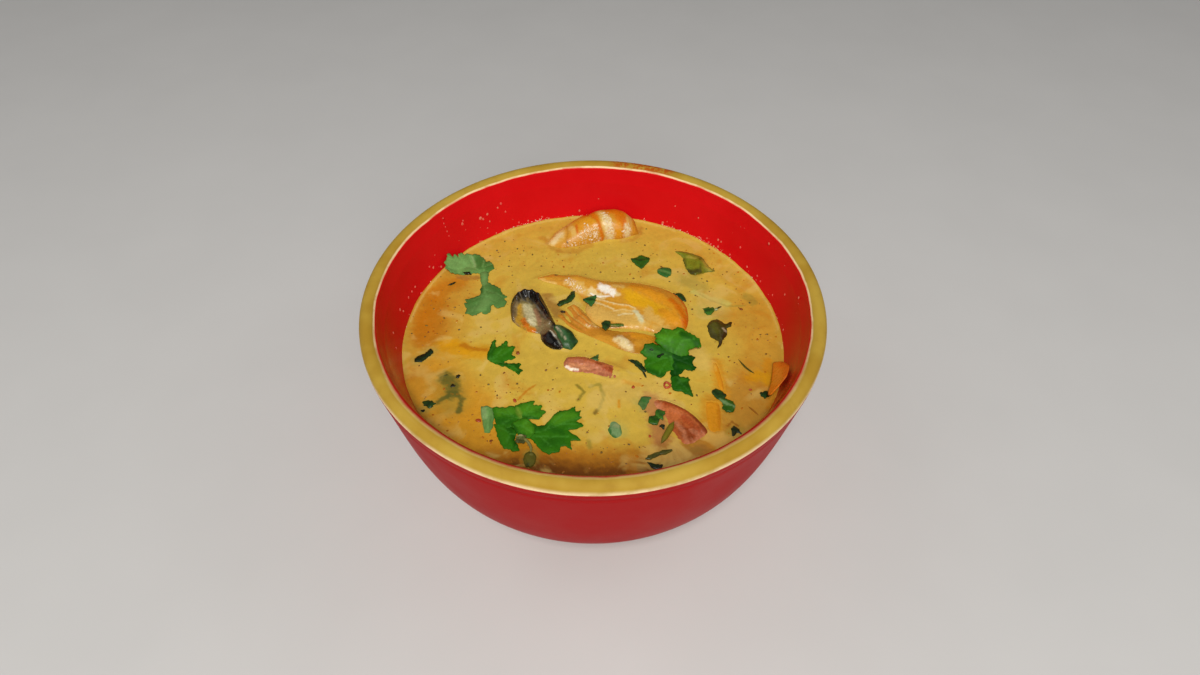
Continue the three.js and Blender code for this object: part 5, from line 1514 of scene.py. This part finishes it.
# %% A lumpy ball
def turning(degrees):
    """The matrix that turns rows of (x, y, z) about the upright axis."""
    c, s = math.cos(math.radians(degrees)), math.sin(math.radians(degrees))
    return np.array([[c, s, 0], [-s, c, 0], [0, 0, 1]])


def ball(centre, radii, turn, lump, size, seed, rows, columns):
    """A lumpy ball at (x, y, height above the broth), its radii turned by some degrees seen from above."""
    rise = np.linspace(0, math.pi, rows + 1)[1:-1]
    round_it = np.arange(columns) * 2 * math.pi / columns
    up, out = np.meshgrid(rise, round_it, indexing="ij")
    unit = np.stack([np.sin(up) * np.cos(out), np.sin(up) * np.sin(out), np.cos(up)], -1).reshape(-1, 3)
    shape = np.vstack([unit, [0, 0, 1], [0, 0, -1]]) * radii
    shape *= 1 + lump * waves(shape, size, seed)[:, None]
    points = shape @ turning(turn) + centre + np.array([0, 0, LEVEL])
    spot = lambda i, j: i * columns + j % columns
    top, bottom = len(points) - 2, len(points) - 1
    faces = quads(rows - 2, columns, spot)
    faces += [[top, spot(0, j), spot(0, j + 1)] for j in range(columns)]
    faces += [[bottom, spot(rows - 2, j + 1), spot(rows - 2, j)] for j in range(columns)]
    return points, faces

# %% Colours of chopped herbs
HERB_BLACK = rgb(14, 28, 12)
BARK_BLACK = rgb(29, 26, 14)
HERB_DEEP = rgb(24, 40, 14)
BARK_DARK = rgb(44, 36, 15)
HERB_DARK = rgb(26, 56, 14)
HERB_OLIVE = rgb(42, 46, 20)
BARK_BROWN = rgb(61, 44, 16)
HERB_GREEN = rgb(36, 64, 20)
STALK_DARK = rgb(56, 58, 22)
HERB_FRESH = rgb(44, 86, 16)
STALK_OLIVE = rgb(74, 70, 20)
HERB_BLUE = rgb(46, 97, 38)
STALK_MOSS = rgb(88, 84, 26)
HERB_BRIGHT = rgb(54, 100, 24)
STALK_TAN = rgb(130, 84, 22)
STALK_GOLD = rgb(112, 104, 26)
HERB_MILKY_DARK = rgb(74, 106, 50)
HERB_MILKY_PALE = rgb(92, 126, 62)
STALK_GREY = rgb(96, 100, 50)
STALK_DULL = rgb(124, 118, 62)
STALK_RUST = rgb(150, 96, 26)
HERB_SAGE = rgb(112, 142, 90)
STEM_PALE = rgb(150, 160, 108)
STEM_CREAM = rgb(175, 172, 116)

# %% Making scraps and stalks
def ragged(centre, length, width, heading, teeth, seed, points=11):
    """A small uneven oval, drawn round a centre. heading: degrees from X, seen from above."""
    draw = np.random.default_rng(seed)
    angle = np.arange(points) * 2 * math.pi / points + draw.uniform(-0.12, 0.12, points)
    reach = 1 + draw.uniform(-teeth, teeth, points)
    oval = np.stack([np.cos(angle) * length / 2 * reach, np.sin(angle) * width / 2 * reach], 1)
    return oval @ turning(heading)[:2, :2] + centre


def scrap(outline, base, dark, lift, seed):
    """A cut bit of leaf. lift: its height above the broth."""
    lie = lambda flat, away: lift + 0.3 * blend(0, 0.9, away) + 0.1 * waves(flat, 2.2, seed)
    piece = solid(f"scrap_{seed}", *sheet(outline, lie, 0.4, 0.5, 4, seed, 0.35), DARK_LEAF)
    crease = [tuple(outline[0]), tuple(np.mean(outline, 0)), tuple(outline[len(outline) // 2])]
    paint(piece, base, [(dark, 0.7, 0.8, crease)], 0.8, seed)
    return piece


def stalk(name, points, radius, base, end_tone):
    """A thin stem along (x, y, height above the broth)."""
    sizes = [0.05, radius, radius, radius * 0.9, 0.05]
    piece = solid(name, *loft(points, sizes, sizes, 30, 12), LEAF)
    paint(piece, base, [(end_tone, radius * 2, 0.8, [points[-1][:2]])], 0.4, 7)
    return piece

# %% Scraps of herb
SCRAPS = [([(17, 46.9), (19.6, 47.8), (21.9, 49.6), (25.7, 47), (23.9, 43.6), (21.5, 40.4), (18.9, 43.4)],
    HERB_FRESH, HERB_DARK, 0.45),
    ([(28.6, 39.6), (31.2, 41.2), (34.7, 40.5), (34.8, 36.6), (32.3, 34.8), (29.1, 37.2)], HERB_BLUE,
    HERB_MILKY_PALE, 0.4),
    ([(-15.6, 16.8), (-14.6, 18.8), (-12, 20.2), (-10.6, 22.6), (-9.6, 25), (-8.2, 24.6), (-8.3, 21.4),
    (-9.6, 18.8), (-12.4, 17.2), (-14.4, 15.8)], HERB_GREEN, HERB_DEEP, 0.8),
    ([(-4.6, 18.6), (-1.8, 20.2), (1.2, 21.2), (0.8, 18), (-0.9, 14.6), (-2.8, 16.6)], HERB_BLUE, HERB_DEEP,
    2.1),
    ([(34.6, 24.2), (37.1, 24), (38.9, 23.4), (40.1, 19.2), (38.2, 19.8), (36.8, 22)], HERB_GREEN, HERB_DEEP,
    0.6),
    (((49.6, 13.8), 4.6, 4.0, 20, 0.3), HERB_BRIGHT, HERB_GREEN, 0.3),
    (((52.6, 14.6), 1.8, 1.2, 20, 0.16), STEM_CREAM, STEM_PALE, 0.5),
    ([(-71.8, -15.6), (-71.4, -13.2), (-68.4, -11.6), (-66.4, -8.9), (-64.9, -10.5), (-66.4, -13),
    (-69, -15.9)], HERB_DEEP, HERB_BLACK, 0.4),
    (((-62.9, -37.2), 3.2, 4.4, 70, 0.25), HERB_GREEN, HERB_DEEP, 0.25),
    (((-64.9, -40.6), 1.7, 1.6, 0, 0.16), HERB_OLIVE, BARK_BLACK, 0.2),
    (((-55.0, -28.0), 1.8, 1.6, 0, 0.3), HERB_OLIVE, BARK_BLACK, 0.1),
    (((-53.4, -23.2), 1.9, 1.3, 40, 0.3), HERB_OLIVE, BARK_BLACK, 0.1),
    (((-58.2, -22.6), 1.8, 1.4, 20, 0.16), STALK_MOSS, STALK_DARK, 0.05),
    ([(3.4, 4.6), (5.2, 6.2), (7.2, 5.2), (6.6, 2.6), (5.0, 0.4), (3.8, 2)], HERB_GREEN, HERB_DEEP, 2.0),
    ([(6.6, 4.2), (9.4, 4.6), (12.6, 4.4), (12.4, 3.2), (9.4, 3), (7, 2.8)], STALK_GOLD, HERB_BRIGHT, 1.8),
    ([(-1.4, -14.2), (0.4, -13), (2.2, -12), (1.8, -13.6), (2.2, -15), (0, -15.4)], HERB_MILKY_DARK,
    HERB_GREEN, 0.7),
    (((-2.4, -14.6), 1.6, 1.2, 20, 0.16), HERB_DEEP, HERB_DEEP, 0.7),
    ([(14.0, -14.4), (17.4, -14.8), (19.4, -16.8), (21.2, -20.7), (19.5, -20.6), (17.2, -17.9),
    (15.6, -15.8)], HERB_GREEN, HERB_BLACK, 0.5),
    ([(18.1, -34.6), (19.7, -33.0), (22.8, -33.7), (21.2, -36.2), (19.4, -39.7), (17.3, -36.8)],
    HERB_MILKY_DARK, HERB_BLUE, 0.2),
    ([(24.2, -40.0), (27.4, -40.9), (26.6, -43.2), (26.2, -44.8), (23.5, -42.9)], HERB_BRIGHT, HERB_GREEN,
    0.9),
    ([(21.2, -43.3), (24.9, -42.5), (24.8, -45), (24, -47), (21, -46.2)], HERB_FRESH, HERB_DARK, 0.7),
    (((25.8, -48), 2.2, 1.4, -45, 0.16), BARK_BLACK, HERB_DEEP, 1.0),
    ([(46.2, -30.6), (47.8, -29.4), (50, -30.6), (51.4, -32.4), (50.8, -34.4), (48.6, -34.8), (47, -33.4)],
    HERB_GREEN, HERB_DEEP, 0.5),
    ([(48.4, -34.4), (50.2, -34.2), (51.6, -34.6), (53.8, -36), (54.4, -38.6), (53.2, -40.8), (50.8, -40.8),
    (49.4, -39.2), (49.8, -37)], HERB_FRESH, HERB_SAGE, 0.7),
    ([(64.6, -31.3), (66.4, -30.8), (67.9, -30.3), (69.3, -32.4), (68, -33), (66.2, -33.9)], HERB_DARK,
    HERB_DEEP, 0.4),
    ([(51.6, -48.6), (52.8, -47.2), (54.2, -48.4), (55.2, -50.8), (53.4, -50.6), (51.8, -52.2)], HERB_OLIVE,
    HERB_DEEP, 0.3),
    ([(19, -62.2), (20.6, -60.4), (24.4, -58.8), (28.8, -57.8), (28.2, -59.2), (24.2, -60.6), (21, -62.2)],
    STALK_MOSS, STALK_DARK, 0.4),
    ([(19.6, -63.4), (22.6, -64.4), (25.2, -64.6), (24.2, -66.6), (21.2, -66)], BARK_BLACK, HERB_DEEP, 0.35),
    (((23.7, -10.9), 2.0, 1.7, 20, 0.3), HERB_DEEP, HERB_DEEP, 3.1),
    ([(25.6, -13.9), (26.6, -12.6), (27.8, -11.6), (28.6, -12.6), (27.4, -13.4), (26.6, -14.6)], HERB_BLACK,
    HERB_DEEP, 1.9),
    (((-56.8, 36.6), 4.4, 1.4, -14, 0.3), HERB_DEEP, HERB_BLACK, 0.75),
    ([(-63.9, 29), (-63.0, 29.9), (-61.4, 31), (-61.2, 30.4), (-62.6, 29.4)], BARK_DARK, HERB_DEEP, 0.4),
    (((-13.1, 12.1), 2.2, 1.0, -6, 0.16), BARK_BROWN, BARK_BLACK, 1.2)]
scraps = []
for seed, (shape, base, dark, lift) in enumerate(SCRAPS, 501):
    outline = ragged(*shape, seed) if isinstance(shape, tuple) else shape
    scraps.append(scrap(outline, base, dark, lift, seed))
hand_in(merged("chopped_herbs", scraps), "dark_leaf")

# %% Slices and stalks
pale_disc = solid("pale_slice", *ball((8.2, -48.9, -0.5), (2.7, 4.0, 1.2), 12, 0.06, 2.4, 61, 18, 30), LEAF)
paint(pale_disc, HERB_SAGE, [(HERB_BLUE, 1.0, 0.9, [(5.8, -48.6), (6.4, -51.6), (8.4, -52.8)]),
    (STEM_PALE, 1.4, 0.8, [(9, -47.6)]), (HERB_MILKY_PALE, 0.7, 0.8, [(10.6, -47), (10.6, -50.6)])], 0.6, 62)
round_end = solid("stalk_end", *ball((-22.9, -62.4, 0.1), (2.3, 3.4, 1.5), 0, 0.05, 2, 63, 18, 30), LEAF)
paint(round_end, STALK_MOSS,
    [(STALK_DULL, 0.9, 0.8, [(-22.4, -61)]), (STALK_DARK, 0.8, 0.8, [(-23.4, -65)])], 0.6, 64)
knot = solid("stalk_knot", *ball((-26.6, -54.2, 1.4), (1.9, 1.9, 0.9), 30, 0.26, 1.2, 65, 18, 30), LEAF)
paint(knot, STALK_GREY, [(STALK_DARK, 0.8, 0.85, [(-27.6, -55.4), (-25.6, -55.8)]),
    (STEM_CREAM, 0.6, 0.85, [(-28.4, -53.4), (-26.4, -53)])], 0.8, 66)
stalks = [stalk("sprig_stalk",
    [(-27.6, -54, 1.0), (-24.8, -54.6, 1.3), (-22.8, -57.2, 0.7), (-22.6, -60.8, 0.5)], 0.55, STALK_DULL,
    STALK_GREY),
    stalk("olive_stick", [(30.4, -45.8, 1.1), (28.6, -49.2, 1.0), (26.8, -52.4, 0.7), (25, -55.4, 0.3)],
    1.15, STALK_GOLD, STALK_MOSS),
    stalk("herb_tail", [(19.6, -20.4, 0.4), (20.4, -22.4, 0.3), (21, -24, 0)], 0.4, HERB_OLIVE, STALK_OLIVE),
    stalk("thin_stem", [(58.6, -13.8, 0.1), (60.6, -17.6, 0.2), (62.4, -19.8, 0.2), (64.2, -21.2, 0)], 0.36,
    STALK_OLIVE, STALK_MOSS),
    stalk("brown_stick", [(59.5, -37.8, 0), (61.2, -40, 0.1), (63, -42.3, 0)], 0.34, STALK_RUST, STALK_TAN),
    stalk("cluster_stick", [(52.4, 13.8, 0.1), (53.6, 15.4, 0.3), (55.2, 16.6, 0.1)], 0.36, STALK_OLIVE,
    STALK_DARK),
    stalk("leaf_stem", [(53.0, -2.4, 0.4), (52.4, -4.6, 0.3), (51.2, -7.6, 0)], 0.4, BARK_BROWN, STALK_MOSS),
    stalk("twig_left", [(-64.4, 29.0, 0.1), (-62.6, 30.1, 0.2), (-60.8, 31.4, 0)], 0.26, BARK_BROWN,
    BARK_BROWN)]
hand_in(merged("stalks_and_slices", [pale_disc, round_end, knot, *stalks]), "coriander")

# %% Chili
def chili_ring(centre, radius, tube, seed):
    """A thin slice of a small chili: a ring lying flat."""
    around_it, across_it = 28, 10
    a, b = np.meshgrid(np.arange(around_it) * 2 * math.pi / around_it,
        np.arange(across_it) * 2 * math.pi / across_it, indexing="ij")
    reach = radius * (1 + 0.08 * np.sin(3 * a + seed)) + tube * np.cos(b)
    points = np.stack([centre[0] + reach * np.cos(a), centre[1] + reach * 1.15 * np.sin(a),
        LEVEL + 0.35 + tube * np.sin(b)], -1).reshape(-1, 3)
    return points, quads(around_it, across_it, lambda i, j: (i % around_it) * across_it + j % across_it)


RED, BROWN_RED = rgb(164, 66, 24), rgb(128, 66, 18)
chili = [solid("chili_slice", *chili_ring((28.9, -27.6), 1.15, 0.4, 2), CRUMB)]
paint(chili[0], rgb(172, 70, 40), [(rgb(140, 34, 22), 0.8, 0.8, [(28, -27)])], 0.6, 71)
CHILI_BITS = [(-30.8, -10.8, 2.2), (-30.1, -35.3, 2.0), (-43.0, -44.9, 2.4), (-37.5, -54.3, 1.5),
    (15.6, -28.5, 1.7), (21.0, -51.9, 1.4), (63.3, 15.0, 1.6), (61.4, -29.6, 1.3), (-13.2, 11.9, 1.0),
    (-68.6, 0.6, 1.1)]
for index, (x, y, size) in enumerate(CHILI_BITS):
    radii = (size * 0.36, size * 0.5, 0.36)
    bit = solid(f"chili_{index}", *ball((x, y, 0.1), radii, 40 * index, 0.16, size, 700 + index, 10, 16),
        CRUMB)
    paint(bit, RED if index % 3 else BROWN_RED, [], 0.5, index)
    chili.append(bit)
hand_in(merged("chili_bits", chili), "pepper")

# %% [markdown]
# ## Specks, beads of oil and splashes
# Hundreds of tiny things lie at random, but thicker in some places than in others. That is a job for
# Geometry Nodes: one tree spreads points over a surface, more of them where a painted number is high, puts a
# small ball on each, and makes the balls uneven in size and shape. The seed is fixed, so they never move.

# %% A tree that strews
def strewing_tree():
    tree = Tree("strew", amount=("Float", 1000.0), least=("Float", 0.3), most=("Float", 0.6),
        flatness=("Float", 0.4), seed=("Int", 1), finish=("Material", None))
    share = tree.add("GeometryNodeInputNamedAttribute", {"Name": "share"}, data_type="FLOAT")
    spread = tree.add("GeometryNodeDistributePointsOnFaces", {"Mesh": tree.start.outputs["Geometry"],
        "Density": tree.times(share, tree.size("amount")), "Seed": tree.size("seed")}).node
    speck = tree.add("GeometryNodeMeshIcoSphere", {"Radius": MM / 2, "Subdivisions": 2})

    def chance(offset, low, high):
        inputs = {"Min": low, "Max": high, "Seed": tree.plus(tree.size("seed"), offset)}
        return tree.add("FunctionNodeRandomValue", inputs, output=1, data_type="FLOAT")
    size = chance(1, tree.size("least"), tree.size("most"))
    stretch = tree.add("ShaderNodeCombineXYZ",
        {0: tree.times(size, chance(2, 0.75, 1.7)), 1: size, 2: tree.times(size, tree.size("flatness"))})
    spin = tree.add("ShaderNodeCombineXYZ", {2: chance(3, 0.0, 2 * math.pi)})
    turned = tree.add("FunctionNodeRotateRotation",
        {"Rotation": spread.outputs["Rotation"], "Rotate By": spin}, rotation_space="LOCAL")
    placed = tree.add("GeometryNodeInstanceOnPoints",
        {"Points": spread.outputs["Points"], "Instance": speck, "Rotation": turned, "Scale": stretch})
    real = tree.add("GeometryNodeRealizeInstances", {0: placed})
    tree.close(tree.add("GeometryNodeSetShadeSmooth", {0: real}), tree.size("finish"))
    return tree


STREW = strewing_tree()


def ground(name, points, faces, share):
    """A surface to strew on, with the painted number that says where."""
    mesh = bpy.data.meshes.new(name)
    mesh.from_pydata([tuple(p) for p in points * MM], [], faces)
    piece = bpy.data.objects.new(name, mesh)
    bpy.context.scene.collection.objects.link(piece)
    weigh(piece, "share", share)
    return piece


def share_of(points, base, patches):
    """How thick things lie: a base, and patches as (half width, strength, line)."""
    share = np.full(len(points), float(base))
    for place in patches:
        share += patch(points, *place)
    return share


def plain(name, tone, other, size, roughness=0.3, gloss=0.5):
    """A finish for tiny things: two tones, one or the other from place to place."""
    finish = Finish(name, Roughness=roughness, Specular_IOR_Level=gloss)
    pick = finish.step(finish.noise(size, 1), 0.42, 0.58)
    bumps = finish.relief(finish.noise(0.4, 2), 0.03, 0.5)
    return finish.show(Base_Color=finish.mix(pick, tone, other), Normal=bumps)

# %% Specks in the broth
open_water = (near > 0.6) & (out < broth_edge - 1.5)
speck_share = share_of(flat_web, 0.5, [(14, 0.9, [(-62, 20), (-64, -6)]),
    (12, 1.0, [(-34, -28), (-20, -34)]), (14, 0.9, [(-30, 46), (20, 42)]), (9, 1.2, [(-52, 33), (-46, 44)]),
    (9, 0.9, [(48, 28), (56, 44)]), (10, 0.8, [(66, 10), (60, -14)]), (12, 0.8, [(-52, -46), (-20, -64)]),
    (9, 0.8, [(6, -60), (30, -66)])])
speck_share *= open_water
specks = STREW.grow("brown_specks", ground("speck_ground", top_points, web_faces, speck_share),
    amount=30000.0, least=0.22, most=0.6, flatness=0.35, seed=11,
    finish=plain("spice_speck", rgb(116, 74, 16), rgb(158, 96, 18), 3))
hand_in(specks, "broth")
dark_specks = STREW.grow("dark_specks", ground("dark_ground", top_points, web_faces, speck_share ** 2),
    amount=3000.0, least=0.35, most=0.85, flatness=0.3, seed=12,
    finish=plain("herb_speck", rgb(120, 100, 28), rgb(136, 84, 22), 4))
hand_in(dark_specks, "dark_leaf")
oil_share = share_of(flat_web, 0.08, [(7, 1.0, [(-68, 20), (-67, 0)]), (9, 0.8, [(-36, -28), (-22, -33)]),
    (8, 0.6, [(-56, -42), (-30, -58)]), (7, 0.5, [(-10, 45), (10, 44)]),
    (6, 0.8, [(20, -30), (30, -33)])]) * open_water
oil_beads = STREW.grow("oil_beads", ground("oil_ground", top_points, web_faces, oil_share), amount=26000.0,
    least=0.35, most=1.0, flatness=0.2, seed=13,
    finish=plain("chili_oil", rgb(186, 116, 14), rgb(172, 98, 8), 3, 0.08, 0.6))
hand_in(oil_beads, "broth")

# %% Crumbs of curd
def curd_ground(piece):
    """The piece's upper side, and where to strew pale crumbs: its painted number for curd and painted
    highlights.
    """
    curds_and_highlights = np.zeros(len(piece.data.vertices), np.float32)
    piece.data.attributes["curds_and_highlights"].data.foreach_get("value", curds_and_highlights)
    faces = [tuple(f.vertices) for f in piece.data.polygons if f.normal.z > 0.1]
    return ground(piece.name + "_curds", places(piece), faces, curds_and_highlights ** 2)


CURD = plain("milk_curd", rgb(230, 208, 172), rgb(208, 166, 108), 1.2, 0.4, 0.3)
curds = [STREW.grow(f"curd_{index}", curd_ground(piece), amount=1300000.0, least=0.35, most=0.95,
    flatness=0.6, seed=41 + index, finish=CURD) for index, piece in enumerate([prawn_back, prawn_middle])]
hand_in(merged("curds_and_highlights_curds", curds), "broth")

# %% Named specks, larger than the rest
LARGE_SPECKS = [(-41.6, 59.2), (-44.7, 52.5), (-35.4, 53.9), (-32.3, 52.3), (-38.4, 41.7), (-23.7, 42),
    (-28.2, 49.8), (-47.2, 3.6), (-56, 2), (-63.2, 8.9), (-75.4, -0.2), (-59.6, 15.2), (24.9, 68.8),
    (23.8, 56.9), (42.1, 62.7), (53.6, 54), (3, 38), (9.7, 38.6), (17.8, 34), (33.7, 32.1), (37.8, 38.4),
    (50.5, 32.4), (54.1, 40.6), (67.6, 19), (69.4, -0.1), (72.4, 0.1), (42.3, 14.7), (44.5, 23.3),
    (30.6, 42), (-44.7, -22.6), (-41, -27.5), (-29.8, -27), (-37.2, -32.9), (-18.8, -19.9), (-14.5, -18.8),
    (-2.2, -50.3), (12.7, -30.9), (19.9, -40.6), (40.2, -32.5), (61.1, -29.5), (70.3, -10.8), (54.8, -12.5),
    (48.3, -18.3), (13.2, -55.7), (17, -56.9), (3.1, -59.3), (-69.6, -2)]
large = [ball((x, y, 0.1), (0.3 + 0.26 * math.sin(5 * k) ** 2, 0.4, 0.24), 50 * k, 0.2, 0.8, 900 + k, 6, 10)
    for k, (x, y) in enumerate(LARGE_SPECKS)]
DARK_SPICE = plain("dark_spice", rgb(124, 86, 22), rgb(96, 78, 24), 5)
large_specks = solid("large_specks", *joined(large), DARK_SPICE)
hand_in(large_specks, "dark_leaf")

# %% [markdown]
# Splashes dried on the inner wall, most of them just above the broth, and a line of froth at its edge. The
# ground for them is a strip of the wall, and the same tree strews on it.

# %% Splashes on the wall
STRIP_ROWS, STRIP_TURN = 26, 420
strip_height = np.linspace(LEVEL + 0.4, RIM - 5, STRIP_ROWS)
strip_angle = np.arange(STRIP_TURN) * 2 * math.pi / STRIP_TURN
strip = np.array([(inner_radius(h) * math.cos(a), inner_radius(h) * math.sin(a), h) for h in strip_height
    for a in strip_angle])
strip_spot = lambda row, k: row * STRIP_TURN + k % STRIP_TURN
strip_faces = [[strip_spot(r + 1, k), strip_spot(r + 1, k + 1), strip_spot(r, k + 1), strip_spot(r, k)]
    for r in range(STRIP_ROWS - 1) for k in range(STRIP_TURN)]
above = strip[:, 2] - LEVEL
bearing = np.degrees(np.arctan2(strip[:, 1], strip[:, 0]))
off_back = np.abs(bearing - 90)
behind = blend(-25, 20, 90 - off_back)
splash_share = (np.exp(-above / 2.2) * (0.5 + blend(0.1, 0.9, waves(strip, 13, 5))) + 0.05) * behind
splashes = STREW.grow("wall_splashes", ground("splash_ground", strip, strip_faces, splash_share),
    amount=42000.0, least=0.18, most=0.6, flatness=0.4, seed=21,
    finish=plain("dried_splash", rgb(222, 84, 74), rgb(214, 108, 84), 6, 0.4, 0.2))
hand_in(splashes, "broth")
WALL_DROPS = [(143.5, 84.5, 0.7), (143.5, 81.6, 0.9), (143.3, 79.6, 0.6), (143.2, 77.2, 0.9),
    (143.1, 74.8, 0.6), (121.9, 77.1, 1.5), (123.3, 75.8, 1.2), (120.9, 72.6, 1.1), (127.4, 74.7, 1.5),
    (130, 74.3, 2.0), (129.2, 73.4, 1.2), (137, 76.1, 1.8), (136.4, 77.4, 1.0), (127.1, 70.9, 1.0),
    (108.4, 65.3, 1.2), (113.5, 64.9, 1.1), (116.9, 65.3, 1.1), (95.1, 66, 1.3), (154.7, 69.4, 1.3),
    (153.4, 67.6, 1.4), (150.2, 65, 1.3), (164.1, 68.8, 1.2), (166.4, 69, 1.2), (169.1, 69, 1.3),
    (175.8, 70.8, 1.6), (174.7, 68.6, 1.2), (65.3, 64.8, 1.6), (43.9, 68, 1.4), (42.6, 67.9, 1.2),
    (34.9, 71.3, 1.3), (24.5, 83.4, 1.3), (43.1, 65, 1.4), (37.7, 65, 1.2), (29.5, 66, 1.3), (24, 66.6, 1.4),
    (21.7, 66, 1.2), (1.7, 81.9, 1.4), (0.3, 65.4, 1.3), (62, 74.5, 0.8), (53.1, 73.2, 0.9),
    (48.1, 65.8, 0.9), (186, 72, 1.2), (190, 69, 1.0), (9, 74, 1.0), (14, 67.4, 1.1)]


def wall_drop(angle, height, size, seed):
    """A dried drop as a low lump whose middle lies on the wall."""
    points, faces = ball((0, 0, 0), (0.22, size * 0.36, size * 0.5), 0, 0.14, size * 0.7, seed, 8, 14)
    points -= [0, 0, LEVEL]
    turn = turning(angle)
    return points @ turn + [*(inner_radius(height) * turn[0, :2]), height], faces


drops = joined([wall_drop(a, h, size, 1000 + k) for k, (a, h, size) in enumerate(WALL_DROPS)])
DRIED_DROP = plain("dried_drop", rgb(226, 92, 82), rgb(222, 118, 96), 5, 0.4, 0.2)
wall_drops = solid("wall_drops", *drops, DRIED_DROP)
hand_in(wall_drops, "broth")

# %% Froth at the edge of the broth
here_and_there = blend(0.25, 0.7, waves(strip, 9, 8)) * blend(-20, 10, 90 - off_back)
back_left = 2.4 * (1 - blend(6, 14, np.abs(bearing - 114)))
back_right = 2.0 * (1 - blend(10, 18, np.abs(bearing - 52)))
froth_share = np.exp(-((above - 0.5) / 0.55) ** 2) * (here_and_there + back_left + back_right)
froth = STREW.grow("edge_froth", ground("froth_ground", strip, strip_faces, froth_share), amount=1400000.0,
    least=0.2, most=0.5, flatness=0.8, seed=31,
    finish=plain("froth", rgb(234, 196, 172), rgb(214, 160, 112), 4, 0.3))
hand_in(froth, "broth")

# %% [markdown]
# ## Floor and light
# A plain pale floor, a broad lamp above and a little in front, and a weaker one at each side. The broad lamp
# stands high enough to light the inside of the bowl, and its rim shades the near edge of the broth; painted
# shade on the broth darkens that edge further.

# %% Floor
FLOOR_HALF = 1.6
floor_mesh = bpy.data.meshes.new("floor")
corners = [(x * FLOOR_HALF, y * FLOOR_HALF, 0) for x, y in ((-1, -1), (1, -1), (1, 1), (-1, 1))]
floor_mesh.from_pydata(corners, [], [(0, 1, 2, 3)])
floor = bpy.data.objects.new("floor", floor_mesh)
bpy.context.scene.collection.objects.link(floor)
paper = Finish("pale_floor", Roughness=0.8, Specular_IOR_Level=0.2)
paper_tone = paper.mix(paper.noise(60, 2), rgb(198, 196, 193), rgb(204, 202, 199))
floor_mesh.materials.append(paper.show(Base_Color=paper_tone))

# %% Lamps
AIM = Vector((0, 0, 0.05))
WARM, WHITE = (1.0, 0.985, 0.96), (1, 1, 1)


def lamp(name, place, size, power, tone):
    """A round lamp that looks at the middle of the bowl. Place and size are in metres."""
    light = bpy.data.lights.new(name, "AREA")
    light.shape = "DISK"
    light.size = size
    light.energy = power
    light.color = tone
    holder = bpy.data.objects.new(name, light)
    bpy.context.scene.collection.objects.link(holder)
    turn = (AIM - Vector(place)).to_track_quat("-Z", "Y")
    holder.matrix_world = Matrix.Translation(Vector(place)) @ turn.to_matrix().to_4x4()


lamp("key", (-0.05, -0.62, 1.02), 0.24, 7.5, WARM)
lamp("front", (0.06, -0.98, 0.86), 0.85, 7.5, WARM)
lamp("fill_left", (-0.9, 0.2, 0.8), 0.9, 1.5, WHITE)
lamp("fill_right", (0.9, 0.2, 0.8), 0.9, 1.5, WHITE)

# %% The room's light, and the view's colours
world = bpy.data.worlds.new("studio")
bpy.context.scene.world = world
world.use_nodes = True
background = world.node_tree.nodes["Background"].inputs
background["Color"].default_value = (0.95, 0.97, 1.0, 1.0)
background["Strength"].default_value = 0.13
bpy.context.scene.view_settings.view_transform = "Standard"
bpy.context.scene.view_settings.look = "None"
bpy.context.scene.view_settings.exposure = 0.0
